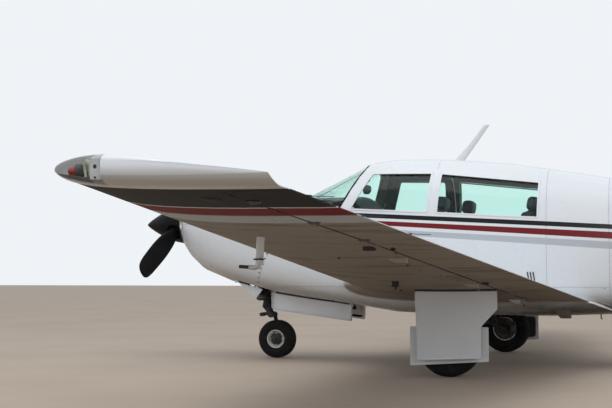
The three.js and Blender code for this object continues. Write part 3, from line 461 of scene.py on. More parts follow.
# Simple finishes: slot, colour, roughness and constants, then colour layers (colour, scale, detail, low,
# high, strength), dull layers (roughness, scale, detail, low, high) and relief (scale, detail, height).
# A detail of 0 stands for cells instead of noise.
SIMPLE_FINISHES = {
    "black_paint": ("black_paint", (0.004, 0.004, 0.005), 0.42, {"Specular_IOR_Level": 0.1},
                    [((0.02, 0.019, 0.018), 9, 6, 0.5, 0.75, 0.4),
                     ((0.10, 0.095, 0.09), 60, 4, 0.68, 0.76, 0.3)],
                    [(0.4, 12, 4, 0.4, 0.7)], [(300, 2, 0.00005)]),
    "window_glass": ("tinted_glass", (0.78, 0.975, 0.92), 0.02, {"Transmission_Weight": 1.0, "IOR": 1.25},
                     [], [(0.05, 3, 4, 0.5, 0.8)], []),
    "lens_glass": ("clear_lens", (0.93, 0.95, 0.95), 0.02, {"Transmission_Weight": 1.0, "IOR": 1.3},
                   [], [(0.08, 8, 4, 0.5, 0.8)], []),
    "gear_steel": ("gear_steel", (0.045, 0.045, 0.048), 0.5, {"Metallic": 0.35, "Specular_IOR_Level": 0.3},
                   [((0.03, 0.028, 0.025), 18, 5, 0.45, 0.7, 0.8),
                    ((0.15, 0.13, 0.11), 70, 4, 0.62, 0.72, 0.5)],
                   [(0.75, 22, 4, 0.4, 0.7)], [(260, 3, 0.00012)]),
    "cast_metal": ("cast_metal", (0.11, 0.11, 0.115), 0.62, {"Metallic": 0.5},
                   [((0.04, 0.035, 0.03), 12, 5, 0.4, 0.7, 0.7)], [], [(420, 0, 0.0003)]),
    "tyre_rubber": ("tyre_rubber", (0.009, 0.009, 0.010), 0.85, {"Specular_IOR_Level": 0.2},
                    [((0.035, 0.031, 0.027), 24, 5, 0.48, 0.75, 0.6)], [], [(420, 3, 0.0002)]),
    "rim_metal": ("rim_metal", (0.62, 0.61, 0.57), 0.42, {"Metallic": 0.55},
                  [((0.20, 0.17, 0.13), 34, 5, 0.5, 0.75, 0.7)],
                  [(0.7, 40, 4, 0.4, 0.7)], [(380, 3, 0.0001)]),
    # Dark brown on a white paint slot: primer colour, darkened further as painted shade for inner faces and
    # parts under the wing
    "primer_and_shade": ("white_paint", (0.125, 0.112, 0.095), 0.7, {},
               [((0.06, 0.055, 0.045), 9, 5, 0.42, 0.7, 0.8)], [], [(180, 3, 0.0001)]),
    "lining": ("panel_plastic", (0.035, 0.037, 0.042), 0.9, {"Sheen_Weight": 0.2},
               [((0.06, 0.06, 0.064), 600, 2, 0.4, 0.6, 0.6)], [], [(900, 2, 0.0003)]),
    "panel_black": ("panel_plastic", (0.018, 0.018, 0.020), 0.6, {},
                    [((0.04, 0.04, 0.042), 500, 2, 0.45, 0.6, 0.5)], [], [(900, 0, 0.0002)]),
    "seat_vinyl": ("upholstery", (0.030, 0.035, 0.045), 0.55, {"Sheen_Weight": 0.15},
                   [((0.07, 0.075, 0.085), 30, 5, 0.5, 0.75, 0.4)], [], [(520, 0, 0.0005), (18, 4, 0.0018)]),
    "post_trim": ("panel_plastic", (0.10, 0.105, 0.085), 0.7, {},
                  [((0.05, 0.05, 0.04), 40, 4, 0.4, 0.7, 0.6)], [], [(700, 0, 0.0002)]),
    "belt_webbing": ("upholstery", (0.045, 0.05, 0.055), 0.8, {"Sheen_Weight": 0.2},
                     [((0.10, 0.11, 0.12), 1400, 0, 0.3, 0.7, 0.5)], [], [(1400, 0, 0.0004)]),
    "sooty_pipe": ("gear_steel", (0.10, 0.075, 0.055), 0.7, {"Metallic": 0.4},
                   [((0.02, 0.018, 0.016), 30, 5, 0.4, 0.65, 0.9)], [], [(220, 3, 0.0002)]),
    "red_lamp": ("clear_lens", (0.55, 0.01, 0.015), 0.08, LAMP, [], [(0.2, 90, 2, 0.5, 0.7)], []),
    "green_lamp": ("clear_lens", (0.01, 0.32, 0.12), 0.08, LAMP, [], [(0.2, 90, 2, 0.5, 0.7)], []),
    "strobe_glass": ("clear_lens", (0.62, 0.66, 0.48), 0.08, LAMP, [], [(0.2, 90, 2, 0.5, 0.7)], []),
}


def simple_finish(name):
    slot, colour, roughness, constants, paints, dulls, reliefs = SIMPLE_FINISHES[name]
    finish = Finish(name, colour, roughness, slot, **constants)

    def texture(scale, detail):
        return finish.noise(scale, detail) if detail else finish.cells(scale)

    for tint, scale, detail, low, high, strength in paints:
        finish.paint(tint, texture(scale, detail).rise(low, high) * strength)
    for dull, scale, detail, low, high in dulls:
        finish.dull(dull, texture(scale, detail).rise(low, high))
    for scale, detail, height in reliefs:
        finish.emboss(texture(scale, detail) * height)
    return finish.done()


FINISHES = {
    "body": body_paint(),
    "wing": wing_paint(),
    "tail": tail_paint(),
    "plain": plain_paint(),
    "black": simple_finish("black_paint"),
    "glass": simple_finish("window_glass"),
    "lens": simple_finish("lens_glass"),
    "steel": simple_finish("gear_steel"),
    "cast": simple_finish("cast_metal"),
    "rubber": simple_finish("tyre_rubber"),
    "rim": simple_finish("rim_metal"),
    "primer_and_shade": simple_finish("primer_and_shade"),
    "lining": simple_finish("lining"),
    "panel": simple_finish("panel_black"),
    "vinyl": simple_finish("seat_vinyl"),
    "trim": simple_finish("post_trim"),
    "belt": simple_finish("belt_webbing"),
    "soot": simple_finish("sooty_pipe"),
    "red_lamp": simple_finish("red_lamp"),
    "green_lamp": simple_finish("green_lamp"),
    "strobe": simple_finish("strobe_glass"),
}


# Outlines and paths, in millimetres
PORT = (1, 0, 0)
AFT = (0, 1, 0)
AHEAD = (0, -1, 0)
UP = (0, 0, 1)


def circle(count):
    """Points round the unit circle."""
    turns = [2 * math.pi * k / count for k in range(count)]
    return [(math.cos(t), math.sin(t)) for t in turns]


def rounded(corners, radius, steps=4):
    """Closed outline with each corner replaced by a short curve."""
    points = [Vector(c) for c in corners]
    found = []
    for i, corner in enumerate(points):
        before = points[i - 1] - corner
        after = points[(i + 1) % len(points)] - corner
        reach = min(radius, before.length * 0.45, after.length * 0.45)
        start, end = corner + before.normalized() * reach, corner + after.normalized() * reach
        for k in range(steps + 1):
            t = k / steps
            found.append(tuple(start * (1 - t) ** 2 + corner * (2 * t * (1 - t)) + end * t**2))
    return found


def rectangle(left, low, right, high, radius, steps=4):
    return rounded([(left, low), (right, low), (right, high), (left, high)], radius, steps)


def spaced(outline, pitch, least=0):
    """Points along a closed outline, about a pitch apart on each of its edges."""
    found = []
    for a, b in zip(outline, outline[1:] + outline[:1]):
        count = max(least, int(math.dist(a, b) / pitch))
        for k in range(count):
            found.append((a[0] + (b[0] - a[0]) * k / count, a[1] + (b[1] - a[1]) * k / count))
    return found


def offset(outline, distance):
    """Closed 2-D outline moved inwards by a distance."""
    turn = sum(a[0] * b[1] - b[0] * a[1] for a, b in zip(outline, outline[1:] + outline[:1]))
    sign = 1 if turn > 0 else -1
    moved = []
    for i, corner in enumerate(outline):
        p, q = Vector(outline[i - 1]), Vector(outline[(i + 1) % len(outline)])
        c = Vector(corner)
        first, second = (c - p).normalized(), (q - c).normalized()
        normal = Vector((-first.y - second.y, first.x + second.x))
        scale = max(normal.length_squared / 2, 0.25)
        moved.append(tuple(c + normal * (sign * distance / scale)))
    return moved


def curve_through(points, steps, loop=False):
    """Smooth path through points, steps spans between each two."""
    points = [Vector(p) for p in points]
    count = len(points)
    if steps < 2 or count < 3:
        return points
    path = []
    for i in range(count if loop else count - 1):
        a = points[i - 1] if loop or i > 0 else points[0] * 2 - points[1]
        b = points[i]
        c = points[(i + 1) % count]
        d = points[(i + 2) % count] if loop or i + 2 < count else c * 2 - b
        for k in range(steps):
            t = k / steps
            path.append(0.5 * (b * 2 + (c - a) * t + (a * 2 - b * 5 + c * 4 - d) * t**2
                               + (b * 3 - a - c * 3 + d) * t**3))
    if not loop:
        path.append(points[-1])
    return path


PLANES = {
    "x": lambda a, b, depth: (depth, a, b),
    "y": lambda a, b, depth: (a, depth, b),
    "z": lambda a, b, depth: (a, b, depth),
}


# Pieces gathered into one mesh
class Shape:
    def __init__(self):
        self.bm = bmesh.new()

    def skin(self, rings, around=True, loop=False):
        """Faces through rings of points. Loop joins the last ring to the first."""
        rows = [[self.bm.verts.new(at(*p)) for p in ring] for ring in rings]
        count = len(rows[0])
        pairs = list(zip(rows, rows[1:])) + ([(rows[-1], rows[0])] if loop else [])
        for a, b in pairs:
            for i in range(count if around else count - 1):
                j = (i + 1) % count
                self.bm.faces.new((a[i], a[j], b[j], b[i]))
        if around and not loop:
            self.bm.faces.new(rows[0][::-1])
            self.bm.faces.new(rows[-1])
        return self

    def turned(self, profile, origin, axis=PORT, sides=32, loop=False):
        """Body of revolution from rows of radius and distance along the axis."""
        along = Vector(axis).normalized()
        across = along.orthogonal().normalized()
        third = along.cross(across)
        rings = []
        for radius, step in profile:
            middle = Vector(origin) + along * step
            reach = max(radius, 0.05)
            rings.append([middle + (across * c + third * s) * reach for c, s in circle(sides)])
        return self.skin(rings, loop=loop)

    def tube(self, path, radius, sides=12, steps=6, loop=False, flat=1.0, up=None):
        """Round bar along a smooth path. Flat squeezes it across the up direction."""
        points = curve_through(path, steps, loop)
        count = len(points)
        rings = []
        normal = None
        for i, point in enumerate(points):
            ahead = points[(i + 1) % count] if loop or i + 1 < count else point
            behind = points[i - 1] if loop or i > 0 else point
            tangent = (ahead - behind).normalized()
            guide = Vector(up) if up else (normal or tangent.orthogonal())
            normal = (guide - tangent * guide.dot(tangent)).normalized()
            side = tangent.cross(normal)
            size = radius(i / max(count - 1, 1)) if callable(radius) else radius
            rings.append([point + normal * (size * flat * c) + side * (size * s) for c, s in circle(sides)])
        return self.skin(rings, loop=loop)

    def slab(self, outline, plane, start, end, bevel=1.0):
        """Flat plate from a closed outline, with its edges eased."""
        place = PLANES[plane]
        bevel = min(bevel, abs(end - start) * 0.45)
        sign = 1 if end > start else -1
        small = offset(outline, bevel)
        rows = [(small, start), (outline, start + sign * bevel), (outline, end - sign * bevel), (small, end)]
        return self.skin([[place(a, b, depth) for a, b in shape] for shape, depth in rows])

    def block(self, low, high, bevel=2.0):
        """Box between two corners, its edges eased."""
        (x0, y0, z0), (x1, y1, z1) = low, high
        return self.slab(rectangle(x0, y0, x1, y1, bevel * 1.6, 3), "z", z0, z1, bevel)

    def strip(self, path, normals, section, loop=True):
        """Trim of a constant section of across and out rows, laid along a path on a surface."""
        count = len(path)
        rings = []
        for i, point in enumerate(path):
            ahead = path[(i + 1) % count] if loop or i + 1 < count else point
            behind = path[i - 1] if loop or i > 0 else point
            tangent = (Vector(ahead) - Vector(behind)).normalized()
            out = Vector(normals[i]).normalized()
            across = tangent.cross(out).normalized()
            rings.append([Vector(point) + across * a + out * o for a, o in section])
        return self.skin(rings, loop=loop)

    def stud(self, point, facing, radius=3.2, height=0.9, sides=10):
        """Domed screw or rivet head."""
        edge = [(radius, -0.4), (radius, height * 0.3)]
        crown = [(radius * 0.7, height * 0.85), (radius * 0.3, height)]
        return self.turned(edge + crown, point, facing, sides)

    def bolt(self, point, facing, radius=7, height=6):
        """Hexagon head on a washer."""
        self.turned([(radius * 1.35, -0.5), (radius * 1.35, 1.2), (radius * 1.2, 1.5)], point, facing, 18)
        return self.turned([(radius, 1), (radius, height - 1), (radius * 0.85, height)], point, facing, 6)

    def mirrored(self):
        """Add the same shapes on the other side."""
        geometry = self.bm.verts[:] + self.bm.edges[:] + self.bm.faces[:]
        copy = bmesh.ops.duplicate(self.bm, geom=geometry)["geom"]
        for item in copy:
            if isinstance(item, bmesh.types.BMVert):
                item.co.x = -item.co.x
        bmesh.ops.reverse_faces(self.bm, faces=[f for f in copy if isinstance(f, bmesh.types.BMFace)])
        return self

    def mesh(self, name):
        """The gathered shapes as a mesh, its faces turned outwards."""
        bmesh.ops.recalc_face_normals(self.bm, faces=self.bm.faces[:])
        mesh = bpy.data.meshes.new(name)
        self.bm.to_mesh(mesh)
        self.bm.free()
        return mesh

    def piece(self, name, finish, body="root", replaces=(), angle=35):
        """The gathered shapes as one named piece that rides on a body."""
        mesh = self.mesh(name)
        mesh.materials.append(FINISHES[finish].material)
        for face in mesh.polygons:
            face.use_smooth = True
        mesh.set_sharp_from_angle(angle=math.radians(angle))
        return add_piece(bpy.data.objects.new(name, mesh), body, replaces)


def add_piece(piece, body="root", replaces=()):
    bpy.context.scene.collection.objects.link(piece)
    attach(piece, body)
    if replaces:
        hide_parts(*replaces)
    return piece


# Places on the skins, in millimetres
def body_half(y, z):
    """Half width of the body at a station and height."""
    _, low, top, half, wide, upper, lower = between(BODY, y)
    above = z >= wide
    part = abs(z - wide) / (top - wide if above else wide - low)
    power = upper if above else lower
    return half * max(1 - part**power, 0) ** (1 / power)


def body_height(y, x, above=True):
    """Height of the roof or the belly at a station and a distance from the middle."""
    _, low, top, half, wide, upper, lower = between(BODY, y)
    power = upper if above else lower
    reach = max(1 - (abs(x) / half) ** power, 0) ** (1 / power)
    return wide + (top - wide) * reach if above else wide - (wide - low) * reach


def on_side(y, z, side=1, out=0):
    """Point on the body's side and the direction in which it faces."""
    point = Vector((side * body_half(y, z), y, z))
    facing = body_skin(point)[1]
    return point + facing * out, facing


def wing_height(x, y, above=False):
    middle, half = panel_lines(WING, WING_CAMBER, abs(x), y)
    return middle + half if above else middle - half


def on_wing(x, y, above=False):
    """Point on a wing's skin and the direction in which it faces."""
    step = 4
    z = wing_height(x, y, above)
    along = Vector((step, 0, wing_height(x + step, y, above) - z))
    back = Vector((0, step, wing_height(x, y + step, above) - z))
    facing = along.cross(back).normalized() * (1 if above else -1)
    return Vector((x, y, z)), facing


# Copies of CAD nodes with true curved shading, each standing for its node
def corner_normals(mesh, skin, inner_depth, angle):
    """A facing for each face corner, and for each face whether it is outer skin, inner skin or edge."""
    limit = math.cos(math.radians(angle))
    around = [[] for _ in mesh.vertices]
    for face in mesh.polygons:
        for v in face.vertices:
            around[v].append(face)
    spots = [Vector((v.co.x / MM, (v.co.y - AXLE_LINE) / MM, v.co.z / MM)) for v in mesh.vertices]
    found = [skin(p) if skin else None for p in spots]
    facings, kinds = [], []
    for face in mesh.polygons:
        kind = "edge"
        if skin:
            depths = [found[v][0] for v in face.vertices]
            turn = min(face.normal.dot(found[v][1]) for v in face.vertices)
            opposite = max(face.normal.dot(found[v][1]) for v in face.vertices)
            if max(abs(d) for d in depths) < 9 and turn > 0.6:
                kind = "outer"
            elif inner_depth and max(abs(d + inner_depth) for d in depths) < 9 and opposite < -0.6:
                kind = "inner"
        kinds.append(kind)
        for v in face.vertices:
            if kind == "outer":
                facings.append(found[v][1])
            elif kind == "inner":
                facings.append(-found[v][1])
            else:
                total = Vector()
                for other in around[v]:
                    if other.normal.dot(face.normal) > limit:
                        total += other.normal * other.area
                facings.append(total.normalized() if total.length > 0 else face.normal.copy())
    return facings, kinds


def dress(node, finish, skin=None, inner=None, edge=None, inner_depth=0, angle=38):
    """The node's solid again, shaded as the curved surface it is, in up to three finishes."""
    source = NODES[node]
    mesh = bpy.data.meshes.new(f"{node}_skin")
    bm = bmesh.new()
    bm.from_mesh(source.data)
    bmesh.ops.remove_doubles(bm, verts=bm.verts, dist=2e-5)
    bmesh.ops.dissolve_degenerate(bm, edges=bm.edges, dist=1e-6)
    bm.to_mesh(mesh)
    bm.free()
    for name in (finish, inner or finish, edge or finish):
        mesh.materials.append(FINISHES[name].material)
    facings, kinds = corner_normals(mesh, skin, inner_depth, angle)
    slots = {"outer": 0, "inner": 1, "edge": 2 if skin else 0}
    for face, kind in zip(mesh.polygons, kinds):
        face.use_smooth = True
        face.material_index = slots[kind]
    mesh.normals_split_custom_set(facings)
    piece = bpy.data.objects.new(f"{node}_skin", mesh)
    bpy.context.scene.collection.objects.link(piece)
    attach(piece, source["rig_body"])
    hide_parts(node)
    return piece


def glass_skin(point):
    distance, facing = body_skin(point)
    return distance + GLASS_INSET, facing


WINDOWS = ("window_front_left", "window_front_right", "window_rear_left", "window_rear_right")


def dress_all():
    wing_skin = panel_skin(WING, WING_CAMBER)
    tailplane_skin = panel_skin(STABILIZER, 0)
    fin_skin = panel_skin(FIN, 0, upright=True)
    for node in ("cabin_shell", "cabin_door", "baggage_door"):
        dress(node, "body", body_skin, "lining", "plain", SKIN)
    dress("cabin_floor", "body", body_skin, "lining", "lining")
    # The inner faces of the cowls and the tailcone take the dark primer, which stands partly for painted
    # shade.
    for node in ("cowl_upper", "cowl_lower"):
        dress(node, "body", body_skin, "primer_and_shade", "plain", COWL_SKIN)
    dress("tailcone", "body", body_skin, "primer_and_shade", "plain", TAIL_SKIN)
    for pane in ("windshield", *WINDOWS):
        dress(pane, "glass", glass_skin, inner_depth=8)
    for side in ("left", "right"):
        dress(f"wing_{side}", "wing", wing_skin, edge="plain")
        dress(f"aileron_{side}", "wing", angle=40)
        dress(f"flap_{side}", "wing", angle=40)
        dress(f"stabilizer_{side}", "tail", tailplane_skin, edge="plain")
        dress(f"elevator_{side}", "tail", angle=40)
        dress(f"cowl_flap_{side}", "plain")
        dress(f"leg_main_{side}", "steel")
        dress(f"gear_door_upper_{side}", "plain")
        dress(f"gear_door_lower_{side}", "plain")
        dress(f"nose_gear_door_{side}", "plain")
    dress("fin", "tail", fin_skin, edge="plain")
    dress("rudder", "tail", angle=40)
    dress("firewall", "steel")
    dress("baggage_bulkhead", "lining")
    dress("engine_block", "cast")
    dress("nose_leg", "steel")
    dress("nose_fork", "steel")
    dress("antenna", "plain", angle=60)
    dress("pitot_mast", "plain", angle=50)
    dress("boarding_step", "steel")
    dress("exhaust_pipe", "steel")


# Openings in the body sides, as in the part's source
FRONT_WINDOW = [(-1002, 1270), (-830, 1577), (-320, 1564), (-345, 1232)]
REAR_WINDOW = [(-271, 1226), (-247, 1558), (543, 1465), (536, 1174)]
DOOR = [(-1058, 852), (-1058, 1264), (-882, 1612), (-296, 1600), (-296, 818)]
WINDOW_CORNER = 14

# Section of the window seals: across and outwards
SEAL = [(-9, -2), (-9, 0.4), (-6, 1.6), (3, 1.8), (6, 0.8), (6, -6), (0, -8)]


def outline_on_side(corners, radius, side, inwards=0):
    """Closed path on the body's side along an outline of stations and heights, and its facings."""
    outline = offset(rounded(corners, radius, 5), inwards)
    found = [on_side(y, z, side) for y, z in spaced(outline, 60, 1)]
    return [p for p, _ in found], [n for _, n in found]


def window_seals():
    for name, corners, side, body in (
        ("front_left", FRONT_WINDOW, 1, "root"), ("front_right", FRONT_WINDOW, -1, "cabin_door"),
        ("rear_left", REAR_WINDOW, 1, "root"), ("rear_right", REAR_WINDOW, -1, "root"),
    ):
        shape = Shape()
        shape.strip(*outline_on_side(corners, WINDOW_CORNER, side, 3), SEAL)
        shape.piece(f"window_seal_{name}", "plain", body)
        screws = Shape()
        path, facings = outline_on_side(corners, WINDOW_CORNER, side, -14)
        for point, facing in list(zip(path, facings))[::2]:
            screws.stud(point, facing, 3, 0.7, 8)
        screws.piece(f"window_screws_{name}", "plain", body)


def windshield_trim():
    """Seal along the foot of the windshield, its posts and its top edge."""
    def half_loop(side):
        loop = []
        for k in range(13):
            t = k / 12
            y = -1462 + t * (-1088 + 1462)
            z = 1412.4 + t * (1283 - 1412.4)
            loop.append((y, z))
        for k in range(1, 9):
            loop.append((-1088 + k / 8 * 176, 1283 + k / 8 * 349))
        points = [Vector((side * body_half(y, z), y, z)) for y, z in loop]
        wide = points[-1].x
        for k in range(1, 7):
            x = wide * (1 - k / 6.01)
            points.append(Vector((x, -912 - 18 * k / 6, body_height(-912 - 18 * k / 6, x))))
        return points
    port = half_loop(1)
    starboard = half_loop(-1)[::-1]
    path = port + starboard[1:-1]
    facings = [body_skin(p)[1] for p in path]
    Shape().strip(path, facings, SEAL).piece("windshield_seal", "rubber")
    centre = [(0, y, body_height(y, 0) - 2) for y in (-1455, -1350, -1236, -1100, -976, -935)]
    Shape().tube(centre, 7, 8, 4, flat=0.6, up=(0, -0.4, 1)).piece("windshield_post", "panel")


def door_details():
    shape = Shape()
    path, facings = outline_on_side(DOOR, 30, -1, 8)
    shape.strip(path, facings, [(-3, -12), (-3, -2), (3, -2), (3, -12)])
    shape.piece("door_seal", "rubber", "cabin_door")
    handle = Shape()
    point, facing = on_side(-400, 1120, -1, 1)
    handle.block((point.x - 7, -470, 1108), (point.x + 3, -360, 1134), 3)
    handle.block((point.x - 12, -462, 1114), (point.x - 5, -392, 1128), 3)
    handle.stud(Vector((point.x - 5, -372, 1121)), facing, 8, 3, 16)
    handle.piece("door_handle", "rim", "cabin_door")
    hatch = Shape()
    point, facing = on_side(820, 1040, -1)
    hatch.stud(point, facing, 14, 2, 20)
    hatch.block((point.x - 5, 780, 1034), (point.x + 2, 802, 1048), 2)
    hatch.piece("baggage_latch", "rim", "baggage_door")


def deck_height(x, y):
    """Top of the glareshield, lower towards the sides and rounded down at its rear edge."""
    slope = 1408 - 0.00034 * x * x
    drop = max(0, (y + 1010) / 118)
    return slope - 100 * drop**2.2


def instruments():
    """Glareshield, panel, dials, radios and control wheels, in place of the plain solid."""
    deck = Shape()
    stations = [-1430, -1330, -1220, -1120, -1050, -1010, -980, -950, -925, -905, -893, -888]
    sides = [-1, -0.85, -0.65, -0.4, -0.15, 0.15, 0.4, 0.65, 0.85, 1]
    rings = []
    for y in stations:
        z_mid = deck_height(0, y)
        half = min(body_half(y, min(z_mid, between(BODY, y)[2] - 30)) - 44, 452)
        top = [(s * half, y, deck_height(s * half, y)) for s in sides]
        under = [(s * (half - 4), y, deck_height(s * half, y) - 12) for s in sides[::-1]]
        rings.append(top + under)
    deck.skin(rings)
    deck.piece("glareshield", "vinyl", replaces=("instrument_panel",), angle=50)
    face = Shape()
    board = rounded([(-462, 985), (462, 985), (450, 1290), (300, 1352), (-300, 1352), (-450, 1290)], 22, 4)
    face.slab(board, "y", -985, -965, 2)
    face.slab(rectangle(-95, 1000, 95, 1310, 8), "y", -966, -955, 2)
    face.slab(rounded([(-60, 640), (60, 640), (75, 985), (-75, 985)], 20), "y", -1090, -975, 8)
    face.piece("panel_face", "panel")
    dials = Shape()
    rims = Shape()
    needles = Shape()
    for row, z in enumerate((1262, 1172, 1082)):
        for x in (360, 268, 176):
            for side in (1, -1):
                if side < 0 and row == 1:
                    continue
                centre = Vector((side * x, -962, z))
                rims.turned([(41, -4), (41, 3), (36, 5), (34, 1)], centre, AFT, 28)
                dials.turned([(34, -1), (34, 1.4), (0.1, 1.4)], centre, AFT, 24)
                for c, s in circle(12):
                    out = Vector((s, 0, c))
                    spot = centre + out * 28 + Vector((0, 1.6, 0))
                    needles.block(spot - Vector((1.1, 0.3, 1.1)), spot + Vector((1.1, 0.5, 1.1)), 0.2)
                a = 0.7 + x * 0.9 + row
                tip = centre + Vector((math.sin(a) * 25, 2.4, math.cos(a) * 25))
                needles.tube([centre + Vector((0, 2.4, 0)), tip], 1.1, 6, 1)
    for z in (1278, 1226, 1174, 1122, 1070):
        rims.slab(rectangle(-86, z - 21, 86, z + 21, 4), "y", -957, -950, 1)
        needles.slab(rectangle(-52, z - 11, 40, z + 11, 2), "y", -951, -949, 0.5)
        for x in (-71, 66):
            rims.turned([(10, -2), (10, 12), (8, 14), (0.1, 14)], (x, -950, z), AFT, 18)
    for x in range(-420, -100, 34):
        rims.block((x - 5, -966, 1006), (x + 5, -955, 1026), 1.5)
        needles.tube([(x, -958, 1016), (x, -946, 1022)], 2.6, 8, 1)
    for x, z in ((-20, 985), (20, 985), (0, 950)):
        rims.turned([(5, 0), (5, 60), (14, 62), (15, 74), (12, 78), (0.1, 78)], (x, -970, z), AFT, 18)
    rims.piece("panel_rims", "panel")
    dials.piece("dial_faces", "black")
    needles.piece("dial_marks", "rim")
    wheels = Shape()
    for x in (-260, 260):
        wheels.tube([(x, -975, 1110), (x, -800, 1110)], 12.5, 14, 1)
        wheels.turned([(24, -8), (30, 0), (30, 16), (20, 24)], (x, -800, 1110), AFT, 24)
        grip = [(-112, 92), (-128, 60), (-124, 20), (-98, -6), (-40, -12), (40, -12), (98, -6), (124, 20),
                (128, 60), (112, 92)]
        wheels.tube([(x + a, -778, 1110 + b) for a, b in grip], 12, 12, 5)
    wheels.piece("control_wheels", "panel", angle=50)
    pedals = Shape()
    for x in (-330, -190, 190, 330):
        pedals.tube([(x, -1330, 830), (x, -1300, 960), (x, -1290, 1010)], 9, 10, 4)
        pedals.slab(rectangle(x - 42, 940, x + 42, 1030, 8), "y", -1290, -1282, 2)
    pedals.tube([(-350, -1330, 835), (350, -1330, 835)], 12, 12, 1)
    pedals.piece("rudder_pedals", "steel")


def compass():
    """Whisky compass on its stalk, with the thermometer and mirror that hang beside it."""
    body = Shape()
    bowl = [(8, -34), (30, -30), (37, -10), (37, 12), (30, 30), (10, 34)]
    body.turned(bowl, (0, -990, 1478), AFT, 28)
    body.slab(rounded([(-30, 1436), (30, 1436), (34, 1462), (-34, 1462)], 8), "y", -1014, -972, 4)
    body.tube([(0, -1010, 1500), (0, -1002, 1560), (0, -985, 1632)], 6, 10, 5)
    body.tube([(0, -1002, 1562), (40, -985, 1570), (78, -960, 1560)], 4, 8, 5)
    body.turned([(22, 0), (24, 6), (20, 12), (0.1, 13)], (84, -960, 1556), (0.2, 1, 0), 24)
    body.turned([(17, 0), (18, 5), (14, 9), (0.1, 9)], (-70, -985, 1590), AFT, 20)
    body.tube([(-70, -985, 1590), (-70, -1020, 1600)], 4, 8, 1)
    body.piece("compass", "panel", angle=50)
    Shape().turned([(28, 0), (24, 3), (0.1, 5)], (0, -959, 1478), AFT, 28).piece("compass_face", "lens")


def cabin_trim():
    """Cover of the starboard windshield post, the door's inner frame and the floor's carpet."""
    posts = Shape()
    post = [(-1035, 1215), (-1012, 1330), (-960, 1470), (-905, 1600), (-880, 1655)]
    posts.tube([(44 - body_half(y, z), y, z) for y, z in post], 46, 14, 5, flat=0.35, up=(1, 0, 0.3))
    posts.piece("post_cover", "trim")
    frame_cover = Shape()
    outer = [(-985, 1240), (-845, 1600), (-310, 1590), (-325, 1205)]
    inner = [(-862, 1300), (-768, 1572), (-372, 1562), (-384, 1268)]
    rings = []
    for corners, depth in ((outer, 43), (outer, 52), (inner, 58), (inner, 43)):
        path = rounded(corners, 34, 5)
        rings.append([(depth - body_half(y, z), y, z) for y, z in path])
    frame_cover.skin(rings, loop=True)
    frame_cover.piece("door_frame_cover", "lining", "cabin_door", angle=50)
    carpet = Shape()
    for low, high in (((-490, -1090, 621), (490, 1040, 629)), ((-470, -1780, 801), (470, -1110, 808))):
        carpet.block(low, high, 3)
    carpet.piece("carpet", "lining")


def headliner():
    """Soft roof lining in gathered panels, inside the roof skin and above the windows."""
    shape = Shape()
    rings = []
    for k in range(49):
        y = -900 + k * 39
        _, _, top, half, wide, upper, _ = between(BODY, y)
        sag = 5 * math.sin(math.pi * ((y + 900) / 240 % 1))
        edge = max(1585 - max(0, y + 300) * 0.118, 1400)
        reach_x, reach_z = half - 44 - sag, top - wide - 44 - sag
        start = math.asin(min(0.995, ((edge - wide) / reach_z) ** (upper / 2)))
        row = []
        for i in range(25):
            a = start + (math.pi - 2 * start) * i / 24
            c, s = math.cos(a), math.sin(a)
            x = reach_x * math.copysign(abs(c) ** (2 / upper), c)
            row.append((x, y, wide + reach_z * s ** (2 / upper)))
        rings.append(row)
    shape.skin(rings, around=False)
    shape.piece("headliner", "lining", angle=60)


# Padded pieces, swelled by the cloth simulation
def pillow_rings(size, crown, layers=9, sides=36, power=3.4):
    """Closed pad of a rounded-box plan, thinner towards its border: rings from the under face up."""
    width, depth, height = size
    rings = []
    for k in range(layers + 1):
        t = -1 + 2 * k / layers
        swell = (1 - abs(t) ** 3.2) ** (1 / 3.2) if abs(t) < 1 else 0.0
        grow = 0.80 + 0.20 * swell
        ring = []
        for c, s in circle(sides):
            x = width / 2 * grow * math.copysign(abs(c) ** (2 / power), c)
            y = depth / 2 * grow * math.copysign(abs(s) ** (2 / power), s)
            ring.append(Vector((x, y, t * height / 2)))
        rings.append(ring)
    border = rings[-1]
    for part in (0.75, 0.5, 0.25, 0.06):
        rise = crown * (1 - part * part)
        rings.append([Vector((p.x * part, p.y * part, p.z + rise)) for p in border])
    return rings


def settle(piece, voxel, cap):
    """Voxel remesh, a short pressure simulation, and no point moved further than the cap."""
    scene = bpy.context.scene
    remesh = piece.modifiers.new("remesh", "REMESH")
    remesh.mode = "VOXEL"
    remesh.voxel_size = voxel
    bake_modifiers(piece)
    start = [v.co.copy() for v in piece.data.vertices]
    cloth = piece.modifiers.new("cloth", "CLOTH")
    cloth.settings.quality = 5
    cloth.settings.mass = 0.3
    cloth.settings.use_pressure = True
    cloth.settings.uniform_pressure_force = 4
    cloth.settings.effector_weights.gravity = 0
    cloth.settings.tension_stiffness = 12
    cloth.settings.compression_stiffness = 12
    for number in range(1, 21):
        scene.frame_set(number)
    bake_modifiers(piece)
    for v, before in zip(piece.data.vertices, start):
        moved = v.co - before
        if moved.length > cap:
            v.co = before + moved.normalized() * cap
    scene.frame_set(1)


def bake_modifiers(piece):
    graph = bpy.context.evaluated_depsgraph_get()
    mesh = bpy.data.meshes.new_from_object(piece.evaluated_get(graph))
    piece.modifiers.clear()
    piece.data = mesh


LARGEST_MOVE = 0.022


